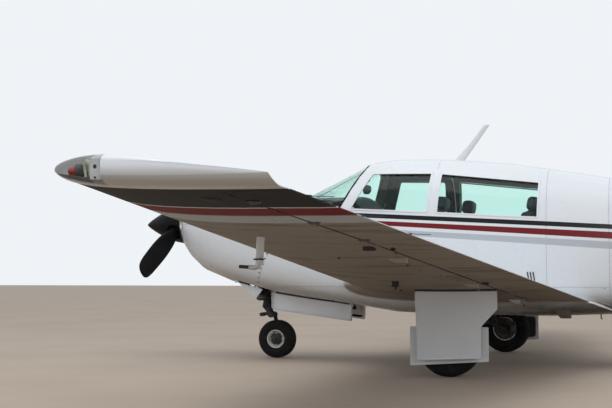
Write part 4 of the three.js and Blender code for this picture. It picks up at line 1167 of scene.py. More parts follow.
def pad(name, centre, size, tilt, crown=10, channels=(), replaces=(), voxel=0.011):
    """One cushion: width along X, depth and height turned about X, sewn channels along its depth."""
    turn = Matrix.Rotation(math.radians(tilt), 3, "X")
    rings = [[Vector(centre) + turn @ p for p in ring] for ring in pillow_rings(size, crown)]
    mesh = Shape().skin(rings).mesh(name)
    mesh.materials.append(FINISHES["vinyl"].material)
    piece = add_piece(bpy.data.objects.new(name, mesh), "root", replaces)
    settle(piece, voxel, LARGEST_MOVE)
    smooth = piece.modifiers.new("smooth", "SUBSURF")
    smooth.levels = smooth.render_levels = 1
    bake_modifiers(piece)
    middle = at(*centre)
    back = turn.inverted()
    for v in piece.data.vertices:
        local = back @ (v.co - middle) / MM
        sunk = sum(math.exp(-((local.x - c) / 7) ** 2) for c in channels)
        border = min(abs(abs(local.x) - size[0] * 0.42), abs(abs(local.y) - size[1] * 0.42))
        welt = math.exp(-(border / 6) ** 2)
        if local.z > 0:
            v.co -= (turn @ Vector(UP)) * MM * (7 * sunk + 3 * welt)
    for face in piece.data.polygons:
        face.use_smooth = True


def belt(name, x, station, half):
    """Flat webbing strap across a seat, from rows of distance from its middle, station and height."""
    path = [(x - across, station + back, z) for across, back, z in half]
    path += [(x + across, station + back, z) for across, back, z in half[1::-1]]
    Shape().tube(path, 23, 10, 5, flat=0.06, up=(0, 0.5, 0.9)).piece(name, "belt", angle=60)


LEFT_SEAT = -560
RIGHT_SEAT = -430
REAR_CHANNELS = (-130, -65, 0, 65, 130)
FRONT_CHANNELS = (-96, -48, 0, 48, 96)


def front_seat(side, station):
    name = "left" if side > 0 else "right"
    x = side * 260
    pad(f"squab_front_{name}", (x, station - 66, 828), (384, 440, 86), 0, channels=FRONT_CHANNELS,
        replaces=(f"seat_front_{name}",))
    pad(f"back_front_{name}", (x, station + 226, 1058), (384, 470, 84), 76, channels=FRONT_CHANNELS)
    pad(f"headrest_front_{name}", (x, station + 290, 1316), (240, 116, 92), 80, crown=4, voxel=0.009)
    legs = Shape()
    for dx in (-150, 150):
        legs.tube([(x + dx, station - 230, 636), (x + dx, station + 190, 636)], 11, 10, 1)
        legs.tube([(x + dx, station - 210, 640), (x + dx, station - 190, 778)], 12, 10, 1)
        legs.tube([(x + dx, station + 170, 640), (x + dx, station + 150, 770)], 12, 10, 1)
        legs.tube([(x + dx * 1.2, station + 130, 800), (x + dx * 1.2, station + 190, 1010)], 10, 10, 1)
    legs.tube([(x - 150, station - 200, 770), (x + 150, station - 200, 770)], 11, 10, 1)
    legs.tube([(x - 150, station + 158, 762), (x + 150, station + 158, 762)], 11, 10, 1)
    for dx in (-60, 60):
        legs.tube([(x + dx, station + 258, 1250), (x + dx, station + 270, 1330)], 6, 10, 1)
    legs.block((x - 178, station - 262, 776), (x + 178, station + 160, 786), 4)
    legs.piece(f"seat_frame_{name}", "steel")
    belt(f"lap_belt_{name}", x, station, ((215, 110, 850), (120, 40, 905), (0, -10, 915)))


def rear_seat():
    for name, x, replaced in (("left", 240, ("seat_rear",)), ("right", -240, ())):
        pad(f"squab_rear_{name}", (x, 118, 822), (408, 420, 92), 0, channels=REAR_CHANNELS, replaces=replaced)
        pad(f"back_rear_{name}", (x, 410, 1050), (408, 450, 86), 76, channels=REAR_CHANNELS)
        pad(f"headrest_rear_{name}", (x, 476, 1298), (250, 116, 92), 78, crown=4, voxel=0.009)
        belt(f"lap_belt_rear_{name}", x, 0, ((225, 300, 850), (120, 230, 905), (0, 180, 912)))
    base = Shape()
    base.block((-460, -60, 630), (460, 300, 752), 14)
    base.piece("rear_seat_base", "lining")


# Wheels, in place of the plain tyres and rims
MAIN_HUB = (1395, 0, 222)
NOSE_HUB = (0, -1818, 166)
NOSE_RAKE = 0.2716


def body_of(node):
    return NODES[node]["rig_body"]


# Tyre wall from bead to tread: share of the wall's depth and of half the width
TYRE_WALL = [
    (0, 0.70), (0.03, 0.80), (0.12, 0.90), (0.28, 0.98), (0.40, 0.995), (0.42, 1.01), (0.45, 1.01),
    (0.47, 1.0), (0.62, 0.975), (0.76, 0.92), (0.87, 0.83), (0.94, 0.71), (0.985, 0.60),
]


def tyre(node, hub, outer, inner, width, grooves):
    """Tyre with rounded walls, a rib on each wall and grooves round the tread."""
    half = width / 2
    side = [(inner + (outer - inner) * a, half * b) for a, b in TYRE_WALL]
    tread = [(outer, half * 0.52)]
    for g in grooves:
        tread += [(outer, g + 3.6), (outer - 5, g + 2.8), (outer - 5, g - 2.8), (outer, g - 3.6)]
    tread.append((outer, -half * 0.52))
    profile = side + tread + [(radius, -step) for radius, step in side[::-1]]
    shape = Shape().turned(profile, hub, PORT, 84, loop=True)
    shape.piece(f"{node}_tread", "rubber", body_of(node), (node,), angle=28)


# Black web laid over the rim's dish: brake dust and painted shade on the main wheels' inner faces, painted
# shade in the nose wheel's centre
SHADE_AND_BRAKE_DUST_WEB = [(0.98, 2), (0.90, 1), (0.80, -10), (0.725, -15.2), (0.58, -14.2), (0.50, -2.2), (0.45, 0.7),
             (0.36, 1.2)]


def rim(node, hub, outer, bore, width, bolts, shade_and_dust_sides, shade_and_dust_from):
    """Two-part rim with flanges, a dished web, bolts and hub caps. On some sides its web and hub cap are laid
    black as brake dust and painted shade, and black discs between the bolts are painted shade in the web's
    holes.
    """
    a = width * 0.36
    flange = [(-1, -3), (5, 1), (6, 4), (3, 6), (-4, 5), (-9, -1)]
    dish = [(0.80, -11), (0.72, -16), (0.58, -15), (0.50, -3), (0.34, 0)]
    half_profile = [(outer + reach, a + step) for reach, step in flange]
    half_profile += [(outer * r, a + step) for r, step in dish] + [(bore, a)]
    profile = half_profile + [(radius, -step) for radius, step in half_profile[::-1]]
    shape = Shape().turned(profile, hub, PORT, 64, loop=True)
    dark = Shape()
    middle = Vector(hub)
    for side in (1, -1):
        for k in range(bolts * 2):
            angle = math.pi * k / bolts
            out = Vector((0, math.cos(angle), math.sin(angle)))
            spot = middle + out * outer * 0.65 + Vector((side * (a - 16.5), 0, 0))
            # Black discs between the bolts: painted shade in the web's holes
            if k % 2:
                dark.turned([(outer * 0.085, -1), (outer * 0.085, 1.2), (0.1, 1.2)], spot, (side, 0, 0), 18)
            else:
                shape.bolt(spot, (side, 0, 0), 4.6, 6)
        if side in shade_and_dust_sides:
            web = [(outer * r, a + step) for r, step in SHADE_AND_BRAKE_DUST_WEB if r < shade_and_dust_from]
            dark.turned(web, hub, (side, 0, 0), 56)
        cap = [(outer * r, a + step) for r, step in ((0.33, -4), (0.33, 5), (0.26, 9), (0.12, 10))]
        cap.append((0.1, a + 10))
        (dark if side in shade_and_dust_sides else shape).turned(cap, hub, (side, 0, 0), 28)
    shape.piece(f"{node}_wheel", "rim", body_of(node), (node,), angle=30)
    dark.piece(f"{node}_holes", "panel", body_of(node))


def wheels():
    for side, name in ((1, "left"), (-1, "right")):
        hub = (side * MAIN_HUB[0], MAIN_HUB[1], MAIN_HUB[2])
        tyre(f"tyre_main_{name}", hub, 222, 108, 160, (44, 22, 0, -22, -44))
        # Main rims: the inner face is laid black, brake dust and painted shade
        rim(f"rim_main_{name}", hub, 107.7, 19.3, 160, 6, (-side,), 1)
        disc = Shape()
        disc.turned([(98, 62), (98, 70), (58, 70), (58, 62)], hub, (-side, 0, 0), 56, loop=True)
        disc.piece(f"brake_disc_{name}", "soot", body_of(f"rim_main_{name}"))
    tyre("tyre_nose", NOSE_HUB, 166, 77, 122, (30, 10, -10, -30))
    # Nose rim: both faces black towards the middle, painted shade
    rim("rim_nose", NOSE_HUB, 76.7, 14.3, 122, 4, (1, -1), 0.73)


# Undercarriage
def main_gear():
    """Brakes, collars, side brace, hoses and door links of the two main legs."""
    metal, black, cast = Shape(), Shape(), Shape()
    x, y = 1266, -150
    for z in (300, 420, 520, 585):
        metal.turned([(31, -9), (35, -6), (35, 6), (31, 9)], (x, y, z), UP, 24)
    for z in (340, 365):
        black.turned([(30, -4), (33, 0), (30, 4)], (x, y, z), UP, 24)
    top = wing_height(960, y) + 4
    metal.tube([(x - 20, y, 500), (1110, y, 545), (960, y, top)], 13, 14, 4)
    metal.turned([(20, -12), (20, 12)], (1110, y, 545), AFT, 20)
    metal.block((930, y - 40, top - 22), (990, y + 40, top + 12), 4)
    for dy in (-16, 16):
        upper = [(y + 84, 505), (y + 106, 505), (y + 150, 400), (y + 128, 396)]
        lower = [(y + 130, 408), (y + 152, 402), (y + 118, 300), (y + 94, 306)]
        for link in (upper, lower):
            metal.slab(rounded(link, 6), "x", x + dy - 4, x + dy + 4, 1)
    for spot in ((x, y + 139, 402), (x, y + 96, 505), (x, y + 105, 306)):
        metal.turned([(9, -26), (9, 26)], spot, PORT, 16)
        metal.bolt((spot[0] + 26, spot[1], spot[2]), PORT, 8, 7)
    cast.block((1300, 54, 176), (1338, 112, 268), 8)
    cast.block((1292, 66, 196), (1302, 100, 248), 4)
    for z in (190, 254):
        metal.bolt((1300, 84, z), (-1, 0, 0), 7, 6)
    hose = [(1318, 86, 268), (1306, 70, 330), (1284, -20, 400), (1280, -108, 470), (1276, -116, 610)]
    black.tube(hose, 4.2, 8, 7)
    for z in (470, 540, 600):
        metal.turned([(33, -3), (36, -3), (36, 3), (33, 3)], (x, y, z), UP, 24)
    for z, reach in ((500, 1556), (230, 1500)):
        metal.tube([(x + 24, y + 6, z), (reach - 2, y + 30, z + 10)], 8, 12, 1)
        metal.block((reach - 12, y + 8, z - 16), (reach, y + 52, z + 36), 3)
    metal.turned([(26, -3), (26, 4), (20, 8), (0.1, 9)], (1508, 0, 222), PORT, 24)
    metal.mirrored().piece("main_gear_metal", "steel")
    cast.mirrored().piece("brake_calipers", "cast")
    black.mirrored().piece("brake_hoses", "rubber")
    gear_doors()


UPPER_DOOR = [(-212, 600), (366, 600), (366, 488), (252, 367), (250, 147), (-196, 126)]
LOWER_DOOR = [(-262, 356), (294, 356), (294, 122), (-262, 84)]


def gear_doors():
    """Edge beads, pressed stiffeners laid black on the inner faces as painted shade, rivets and hinges of the
    main gear doors.
    """
    beads, shaded_pans, rivet_heads = Shape(), Shape(), Shape()
    for outline, x, depth in ((UPPER_DOOR, 1556, 10), (LOWER_DOOR, 1500, 8)):
        path = [(x + depth, y, z) for y, z in rounded(outline, 6, 3)]
        beads.strip(path, [PORT] * len(path), [(-3.5, -1), (-3.5, 0.8), (0, 1.8), (3.5, 0.8), (3.5, -1)])
        # Black pan on the door's inner face: painted shade.
        shaded_pans.slab(rounded(offset(outline, 22), 30, 5), "x", x, x - 7, 3)
        for y, z in spaced(offset(outline, 34), 42):
            if z < 540:
                rivet_heads.stud((x + depth, y, z), PORT, 3.2, 0.7, 8)
    for y, z in ((-20, 500), (10, 470), (40, 440), (-5, 455), (30, 495)):
        rivet_heads.stud((1566, y, z), PORT, 5, 1.2, 10)
    seam = Shape()
    seam.tube([(1566, y, wing_height(1566, y) - 6) for y in (-214, -120, -20, 80, 180, 280, 366)], 8, 8, 3)
    seam.mirrored().piece("gear_door_seams", "panel")
    beads.mirrored().piece("gear_door_edges", "plain")
    shaded_pans.mirrored().piece("gear_door_shaded_stiffeners", "panel")
    rivet_heads.mirrored().piece("gear_door_rivets", "plain")


def nose_at(z, x=0, ahead=0):
    """Point on the nose leg's leaning line, moved sideways and forwards."""
    return (x, NOSE_HUB[1] - (z - NOSE_HUB[2]) * NOSE_RAKE - ahead, z)


def nose_gear():
    """Landing light, scissors, tow horn, steering rods and collars of the nose leg, and its doors."""
    fork, fixed, black = Shape(), Shape(), Shape()
    down = Vector((0, NOSE_RAKE, -1)).normalized()
    for z, radius in ((470, 40), (530, 39), (640, 40)):
        fixed.turned([(radius - 4, -10), (radius, -7), (radius, 7), (radius - 4, 10)], nose_at(z), down, 28)
    fork.turned([(27, -12), (33, -8), (33, 8), (27, 12)], nose_at(432), down, 28)
    fork.turned([(24, -16), (30, -10), (30, 22), (24, 26)], nose_at(392), down, 28)
    fork.tube([nose_at(386, 0, 8), nose_at(386, 0, 46), nose_at(380, 0, 80)], lambda t: 15 + 2 * t, 16, 4)
    fork.turned([(10, -40), (17, -36), (18, 0), (17, 36), (10, 40)], nose_at(380, 0, 84), PORT, 20)
    for x in (-14, 14):
        fork.slab(rounded([(-1912, 398), (-1890, 404), (-1938, 462), (-1958, 452)], 6), "x", x - 4, x + 4, 1)
        fixed.slab(rounded([(-1956, 446), (-1936, 440), (-1918, 520), (-1940, 528)], 6), "x", x - 4, x + 4, 1)
    fork.turned([(7, -26), (7, 26)], (0, -1946, 450), PORT, 14)
    for x in (-90, -60, 24):
        fork.turned([(23, -5), (26, -3), (26, 3), (23, 5)], nose_at(378, x), PORT, 24)
    fork.turned([(18, -4), (22, 0), (22, 8), (14, 12), (0.1, 13)], nose_at(166, -104), (-1, 0, 0), 20)
    fork.bolt((54, NOSE_HUB[1], NOSE_HUB[2]), PORT, 14, 12)
    light = nose_at(556, 0, 4)
    black.turned([(30, 0), (44, 8), (47, 30), (47, 74), (44, 78), (30, 78)], light, AHEAD, 32)
    bracket = [(-1960, 590), (-1905, 590), (-1890, 520), (-1985, 500), (-2004, 540)]
    black.slab(rounded(bracket, 12), "x", -40, 40, 6)
    pane = Shape().turned([(43, 77), (40, 81), (26, 85), (0.1, 87)], light, AHEAD, 32)
    pane.piece("landing_light", "lens")
    fixed.turned([(47, 72), (49, 76), (47, 81), (43, 80)], light, AHEAD, 32)
    fixed.tube([nose_at(600, 0, -20), (0, -1780, 660), (0, -1620, 706)], 15, 14, 3)
    fixed.turned([(22, -20), (22, 20)], (0, -1700, 688), PORT, 20)
    for side in (1, -1):
        joint = nose_at(470, side * 44, 6)
        fixed.tube([joint, nose_at(560, side * 50, -16), (side * 56, -1800, 690)], 7, 10, 4)
        fixed.turned([(9, -9), (9, 9)], joint, PORT, 14)
    black.tube([nose_at(620, 30, 20), nose_at(500, 44, 24), nose_at(440, 36, 10)], 5, 8, 6)
    fork.piece("nose_fork_fittings", "steel", body_of("nose_fork"))
    fixed.piece("nose_leg_fittings", "steel")
    black.piece("nose_light_housing", "panel")
    nose_doors()


NOSE_DOOR = [(-1790, 640), (-1067, 520), (-1072, 338), (-1790, 433)]


def nose_doors():
    """Flanged edges, a black bar along the hinge line as painted shade of the well opening, link rods and
    rivets of the nose gear doors.
    """
    plates, links, studs, gap_shade = Shape(), Shape(), Shape(), Shape()
    path = [(208, y, z) for y, z in offset(rounded(NOSE_DOOR, 26, 5), 2)]
    plates.strip(path, [PORT] * len(path), [(-2, -1), (-2, 24), (0, 26), (2, 24), (2, -1)])
    pan = offset(rounded(NOSE_DOOR, 20, 4), 30)
    plates.slab(pan, "x", 200, 193, 3)
    # Black bar along the door's hinge line: painted shade of the open wheel well.
    hinge = [(204, y, body_height(y, 204, False) - 3) for y in (-1760, -1600, -1400, -1200, -1090)]
    gap_shade.tube(hinge, 11, 10, 4)
    for y in (-1700, -1430, -1160):
        edge = body_height(y, 204, False)
        links.tube([(198, y, edge - 60), (150, y + 10, body_height(y, 150, False) + 30)], 6, 10, 1)
        links.block((186, y - 16, edge - 74), (200, y + 16, edge - 48), 2)
    links.tube([(198, -1750, 530), (110, -1780, 560), (30, -1846, 600)], 7, 10, 4)
    for y, z in spaced(offset(rounded(NOSE_DOOR, 26, 5), 14), 40):
        studs.stud((208, y, z), PORT, 3.4, 3, 8)
    plates.mirrored().piece("nose_door_flanges", "plain")
    links.mirrored().piece("nose_door_links", "steel")
    gap_shade.mirrored().piece("nose_well_gap_shade", "panel")
    studs.mirrored().piece("nose_door_rivets", "plain")


# Propeller and nose
THRUST_LINE = 1196
SPINNER_TIP = -3103
PROPELLER_STATION = -2772
BLADE_ANGLE = 30
BLADE_ROWS = [
    (44, 92, 92, -52), (120, 88, 80, -50), (200, 108, 46, -42), (320, 146, 27, -34), (450, 166, 21, -29),
    (560, 172, 17, -25), (760, 168, 12, -19), (838, 152, 10, -16.5), (870, 130, 8.6, -16), (892, 98, 7, -15),
    (902, 64, 5.6, -15), (906, 34, 4.6, -15),
]
SPINNER = [(0.5, 0), (9, 5), (28, 28), (62, 80), (104, 158), (140, 240), (162, 310), (174, 380), (175, 405)]


def on_propeller(span, along, up, second):
    """Point of the blade's own frame in the part's frame; the second blade is turned half way round."""
    turn = math.radians(BLADE_ANGLE)
    if second:
        span, up = -span, -up
    return (
        span * math.cos(turn) + up * math.sin(turn),
        PROPELLER_STATION + along,
        THRUST_LINE - span * math.sin(turn) + up * math.cos(turn),
    )


def carve(piece, cutters, angle=30, operation="DIFFERENCE"):
    """Take closed shapes away from a piece, or keep only what lies inside them."""
    for cutter in cutters:
        tool = bpy.data.objects.new("cutter", cutter.mesh("cutter"))
        bpy.context.scene.collection.objects.link(tool)
        cut = piece.modifiers.new("cut", "BOOLEAN")
        cut.object = tool
        cut.operation = operation
        cut.solver = "EXACT"
        bpy.context.view_layer.update()
        bake_modifiers(piece)
        bpy.data.objects.remove(tool)
    for face in piece.data.polygons:
        face.use_smooth = True
    piece.data.set_sharp_from_angle(angle=math.radians(angle))


def propeller():
    blades = Shape()
    table = [Vector(row) for row in BLADE_ROWS]
    rows = curve_through(table, 4)
    for second in (False, True):
        rings = []
        for span, chord, thick, twist in rows:
            twist = math.radians(twist)
            ring = []
            round_part = min(1, max(0, (thick / chord - 0.3) / 0.6))
            for c, s in circle(26):
                through = thick / 2 * s
                if s < 0:
                    through *= 0.4 + 0.6 * round_part
                across = chord / 2 * c
                ring.append(on_propeller(
                    span,
                    across * math.sin(twist) + through * math.cos(twist),
                    across * math.cos(twist) - through * math.sin(twist),
                    second,
                ))
            rings.append(ring)
        blades.skin(rings)
    middle = on_propeller(0, 0, 0, False)
    axis = Vector(on_propeller(1, 0, 0, False)) - Vector(middle)
    half_hub = [(58, -150), (58, -100), (66, -96), (66, -60), (58, -56)]
    hub = half_hub + [(radius, -step) for radius, step in half_hub[::-1]]
    blades.turned(hub, middle, axis, 32)
    blades.piece("propeller_blades", "black", body_of("propeller"), ("propeller",), angle=50)
    cone = Shape()
    outline = [tuple(p) for p in curve_through([Vector(p) for p in SPINNER], 5)]
    cone.turned(outline, (0, SPINNER_TIP, THRUST_LINE), AFT, 72)
    piece = cone.piece("spinner_shell", "black", body_of("spinner"), ("spinner",), angle=40)
    carve(piece, [Shape().turned([(72, 60), (72, 400)], middle, axis * sign, 36) for sign in (1, -1)])
    fittings = Shape()
    rear_edge = [(175.5, 396), (176.5, 398), (176.5, 405), (175, 405.5)]
    fittings.turned(rear_edge, (0, SPINNER_TIP, THRUST_LINE), AFT, 72)
    for c, s in circle(20):
        out = Vector((c, -0.08, s))
        fittings.stud(Vector((0, SPINNER_TIP + 384, THRUST_LINE)) + out * 174.2, out, 4, 1.2, 10)
    fittings.piece("spinner_fittings", "steel", body_of("spinner"))


def front_station(x, z):
    """Station where the cowling's nose reaches a point seen from ahead."""
    ahead, behind = -2690.0, -2300.0
    if body_size(x, ahead, z) < 1:
        return ahead
    for _ in range(24):
        middle = (ahead + behind) / 2
        if body_size(x, middle, z) > 1:
            ahead = middle
        else:
            behind = middle
    return behind


COWL_SPLIT = 1188


def cowling():
    """Inlet lips, fasteners, oil door, exit rods and the exhaust's open end."""
    lips, screws, dark = Shape(), Shape(), Shape()
    for side in (1, -1):
        path = []
        for c, s in circle(36):
            x, z = side * 238 + 60 * c, THRUST_LINE + 60 * s
            path.append(Vector((x, front_station(x, z), z)))
        facings = [Vector(AHEAD) * 0.5 + body_skin(p)[1] * 0.5 for p in path]
        lips.strip(path, facings, [(-5, -16), (-6, 0), (-3, 4), (2, 5), (6, 2), (7, -3), (3, -4)])
    ring = [(86 * c, -2690, THRUST_LINE + 86 * s) for c, s in circle(40)]
    lips.strip(ring, [AHEAD] * 40, [(-4, -8), (-4, 1), (0, 2), (4, 1), (4, -1)])
    lips.piece("cowl_lips", "plain")
    for side in (1, -1):
        for k in range(15):
            for z in (COWL_SPLIT - 12, COWL_SPLIT + 14):
                screws.stud(*on_side(-2560 + k * 52, z, side), 5.5, 1.4, 12)
        for k in range(7):
            z = 668 + k * 40
            dark.stud(*on_side(-1715 + 0.5485 * (z - 906) - 12, z, side), 6.2, 1.6, 12)
        for k in range(6):
            screws.stud(*on_side(-1816, 985 + k * 68, side), 5.5, 1.4, 12)
    screws.piece("cowl_screws", "steel")
    dark.piece("cowl_side_screws", "panel")
    hatch = Shape()
    corners = rectangle(-2180, 90, -2030, 230, 16)
    grid = [[(x, y, body_height(y, x) + 1.4) for y, x in offset(corners, step)] for step in (0, 2)]
    grid.append([(x, y, body_height(y, x) + 1.4) for y, x in offset(corners, 30)])
    under = [(x, y, body_height(y, x) - 3) for y, x in corners]
    hatch.skin([under] + grid)
    for y in (-2160, -2050):
        hatch.stud((212, y, body_height(y, 212) + 1.4), (0.2, 0, 1), 6, 1.5, 12)
    hatch.piece("oil_door", "plain", angle=30)
    for side, name in ((1, "left"), (-1, "right")):
        x = side * 169
        rod = Shape().tube([(x, -1975, 580), (x, -1960, 690)], 5, 10, 1)
        rod.block((x - 10, -1990, 574), (x + 10, -1960, 590), 2)
        rod.piece(f"cowl_flap_rod_{name}", "steel", body_of(f"cowl_flap_{name}"))
    end = Vector((-308, -1984, 549.6))
    along = Vector((0, 144, -167)).normalized()
    pipe = Shape()
    pipe.turned([(26.3, -40), (27.6, -36), (27.6, 5), (24, 5.5), (23, -14), (0.1, -14)], end, along, 28)
    pipe.turned([(27, -12), (30, -9), (30, 9), (27, 12)], end - along * 90, along, 28)
    pipe.piece("exhaust_end", "soot")


# Wings
LENS_END = -572
LENS_SIDE = 5420
TIP_ROWS = [(5380.3, 1, 1, 1), (5415, 1, 1.12, 1.02), (5450, 0.99, 1.12, 0.98), (5482, 0.97, 0.9, 0.78),
            (5500, 0.93, 0.55, 0.48)]


def tip_ring(x, along, upper, lower):
    """Section of the tip at a span, scaled along the chord and above and below its middle."""
    row = between(WING, x)
    lead, trail = row[1], row[3]
    pivot_y, pivot_z = trail - 250, row[2] - 6
    turns = [math.pi * k / 40 for k in range(41)]
    places = [(t, 1) for t in turns[::-1]] + [(t, -1) for t in turns[1:]]
    ring = []
    for t, sign in places:
        y = lead + (trail - lead) * (1 - math.cos(t)) / 2
        middle, half = panel_lines(WING, WING_CAMBER, x, y)
        z = middle + sign * half
        grow = upper if z > pivot_z else lower
        ring.append((x, pivot_y + (y - pivot_y) * along, pivot_z + (z - pivot_z) * grow))
    return ring


def wing_tips():
    """Smooth end caps and clear lenses, in place of the faceted solids."""
    rows = curve_through([Vector(row) for row in TIP_ROWS], 4)
    for name, side in (("left", 1), ("right", -1)):
        rings = [[(side * x, y, z) for x, y, z in tip_ring(*row)] for row in rows]
        cap = Shape().skin(rings).piece(f"wing_tip_shell_{name}", "plain", "root", (f"wing_tip_{name}",), 50)
        low, high = sorted((side * LENS_SIDE, side * 5600))
        carve(cap, [Shape().block((low, -1000, 900), (high, LENS_END, 1400), 0.5)], 50)
        low, high = sorted((side * (LENS_SIDE + 0.3), side * 5600))
        lens = Shape().skin(rings).piece(f"lens_shell_{name}", "lens", "root", (f"tip_lens_{name}",), 50)
        carve(lens, [Shape().block((low, -1000, 900), (high, LENS_END - 0.3, 1400), 0.5)], 50, "INTERSECT")


def wing_tip_lights():
    for name, side, colour in (("left", 1, "red_lamp"), ("right", -1, "green_lamp")):
        x = side * 5452
        bulb = [(11, -20), (13, -12), (14, 0), (12, 12), (7, 18), (0.1, 19)]
        Shape().turned(bulb, (x, -712, 1134), AHEAD, 24).piece(f"position_lamp_{name}", colour)
        metal = Shape()
        metal.turned([(18, -2), (19, 0), (19, 26), (16, 30)], (x, -696, 1134), AFT, 24)
        shelf = [(-775, 1122), (-775, 1126), (-630, 1104), (-600, 1104), (-600, 1094), (-640, 1094)]
        metal.slab(shelf, "x", x - 22, x + 22, 1)
        plate = Shape().block((x - 26, -628, 1090), (x + 26, -574, 1174), 3)
        plate.piece(f"lens_plate_{name}", "plain")
        metal.tube([(x, -640, 1106), (x, -640, 1128)], 9, 12, 1)
        metal.piece(f"lamp_holder_{name}", "cast")
        bend = [(-6, -652, 1112), (-2, -662, 1146), (4, -646, 1158), (6, -632, 1146), (0, -634, 1114)]
        strobe = Shape().tube([(x + side * dx, y, z) for dx, y, z in bend], 9, 12, 5)
        strobe.piece(f"strobe_{name}", "strobe")
        holes = Shape()
        for z, radius in ((1142, 8), (1102, 5)):
            profile = [(radius, -2), (radius, 1.2), (0.1, 1.2)]
            holes.turned(profile, (x + side * 26, -604, z), (side, 0, 0), 18)
        holes.piece(f"lens_screws_{name}", "panel")


# Round covers under the wing: span, station and radius
WING_COVERS = [
    (1180, 420, 60), (1820, 180, 62), (2450, 96, 58), (3080, 60, 58), (4020, -60, 55),
    (4640, -120, 55), (5150, -250, 50), (2300, -420, 60), (3400, -480, 56), (4500, -500, 52),
]


def wing_details():
    """Covers, caps, brackets, rings and drains on both wings."""
    covers, screws, dark, metal = Shape(), Shape(), Shape(), Shape()
    for x, y, radius in WING_COVERS:
        point, facing = on_wing(x, y)
        covers.turned([(radius, -2), (radius, 1.0), (radius - 2, 1.8), (0.1, 1.8)], point, facing, 36)
        across = Vector(PORT)
        across = (across - facing * across.dot(facing)).normalized()
        third = facing.cross(across)
        for c, s in circle(6):
            spot = point + (across * c + third * s) * (radius - 9) + facing * 1.6
            screws.stud(spot, facing, 3.4, 1.0, 8)
    for x, y in ((2450, 150), (2393, 185), (2164, 210), (2716, 80), (3500, 120), (1490, 330)):
        point, facing = on_wing(x, y)
        dark.turned([(7, -3), (7, 2), (5, 5), (0.1, 5)], point, facing, 14)
    for x in (1500, 1760, 3300):
        point, facing = on_wing(x, -330 if x < 2000 else -260)
        metal.turned([(10, -4), (10, 4), (6, 9), (0.1, 10)], point, facing, 16)
    for x, y, size in ((3728, 34, (40, 26, 20)), (3683, 150, (12, 12, 16)), (1995, 360, (16, 20, 18))):
        z = wing_height(x, y)
        dark.block((x - size[0], y - size[1], z - size[2]), (x + size[0], y + size[1], z + 8), 4)
    ring = [(2080 + 15 * s, -230, 643 + 15 * c) for c, s in circle(12)]
    metal.tube(ring, 3.6, 10, 2, loop=True)
    for x in (1400, 2250):
        point, facing = on_wing(x, -470, True)
        metal.turned([(44, -3), (44, 1.6), (40, 3), (0.1, 3)], point, facing, 36)
        metal.block(point + facing * 2 - Vector((5, 26, 0)), point + facing * 2 + Vector((5, 26, 7)), 2)
    for span in (4150, 4700, 5200):
        row = between(WING, span)
        start = Vector((span, row[3] - 2, row[4] + 1))
        dark.tube([start - Vector((0, 26, -4)), start + Vector((0, 12, 0))], 4, 8, 1)
        dark.tube([start, start + Vector((0, 105, -5))], 1.6, 6, 1)
    elbow = [(4080, -448, 812), (4080, -450, 776), (4080, -468, 758), (4080, -500, 760)]
    Shape().tube(elbow, 12, 18, 6).piece("pitot_elbow", "plain")
    sleeve = Shape().tube([(4080, -492, 759.5), (4080, -554, 763.3)], 9, 16, 1)
    sleeve.block((4062, -474, 796), (4098, -424, 804), 3)
    sleeve.piece("pitot_tube", "steel")
    covers.mirrored().piece("wing_covers", "wing")
    screws.mirrored().piece("wing_cover_screws", "steel")
    dark.mirrored().piece("wing_small_parts", "panel")
    dark_lug = Shape().block((2060, -250, 644), (2100, -210, wing_height(2080, -230) + 2), 3)
    dark_lug.mirrored().piece("tie_down_covers", "steel")
    metal.mirrored().piece("wing_fittings", "steel")


def flap_brackets():
    """Pivots and screws of the flap fairings, the ailerons' hinge plates and the flaps' inner brackets."""
    metal, screws = Shape(), Shape()
    for x, y in ((720, 480), (1920, 335), (3280, 170)):
        z = wing_height(x, y - 30)
        metal.turned([(7, -17), (7, 17)], (x, y - 34, z - 44), PORT, 16)
        metal.bolt((x + 16, y - 34, z - 44), PORT, 6, 5)
        for k in range(5):
            spot, facing = on_wing(x + 20, y - 190 + k * 34)
            screws.stud(spot, facing, 3.2, 0.9, 8)
    for x, y in ((4000, 76), (4560, -6), (5100, -88)):
        z = wing_height(x, y)
        plate = [(y - 40, z + 6), (y + 40, z + 2), (y + 30, z - 10), (y - 10, z - 13)]
        metal.slab(rounded(plate, 5), "x", x - 4, x + 4, 1)
        metal.turned([(5, -9), (5, 9)], (x, y + 20, z - 5), PORT, 14)
    # The flaps' inner brackets and the hinge plates are dark: primer, and painted shade under the wing.
    root = Shape().slab(rounded([(596, 512), (772, 512), (772, 388), (690, 388)], 8), "x", 398, 428, 4)
    root.mirrored().piece("root_brackets", "primer_and_shade")
    metal.mirrored().piece("hinge_plates", "primer_and_shade")
    screws.mirrored().piece("fairing_screws", "steel")


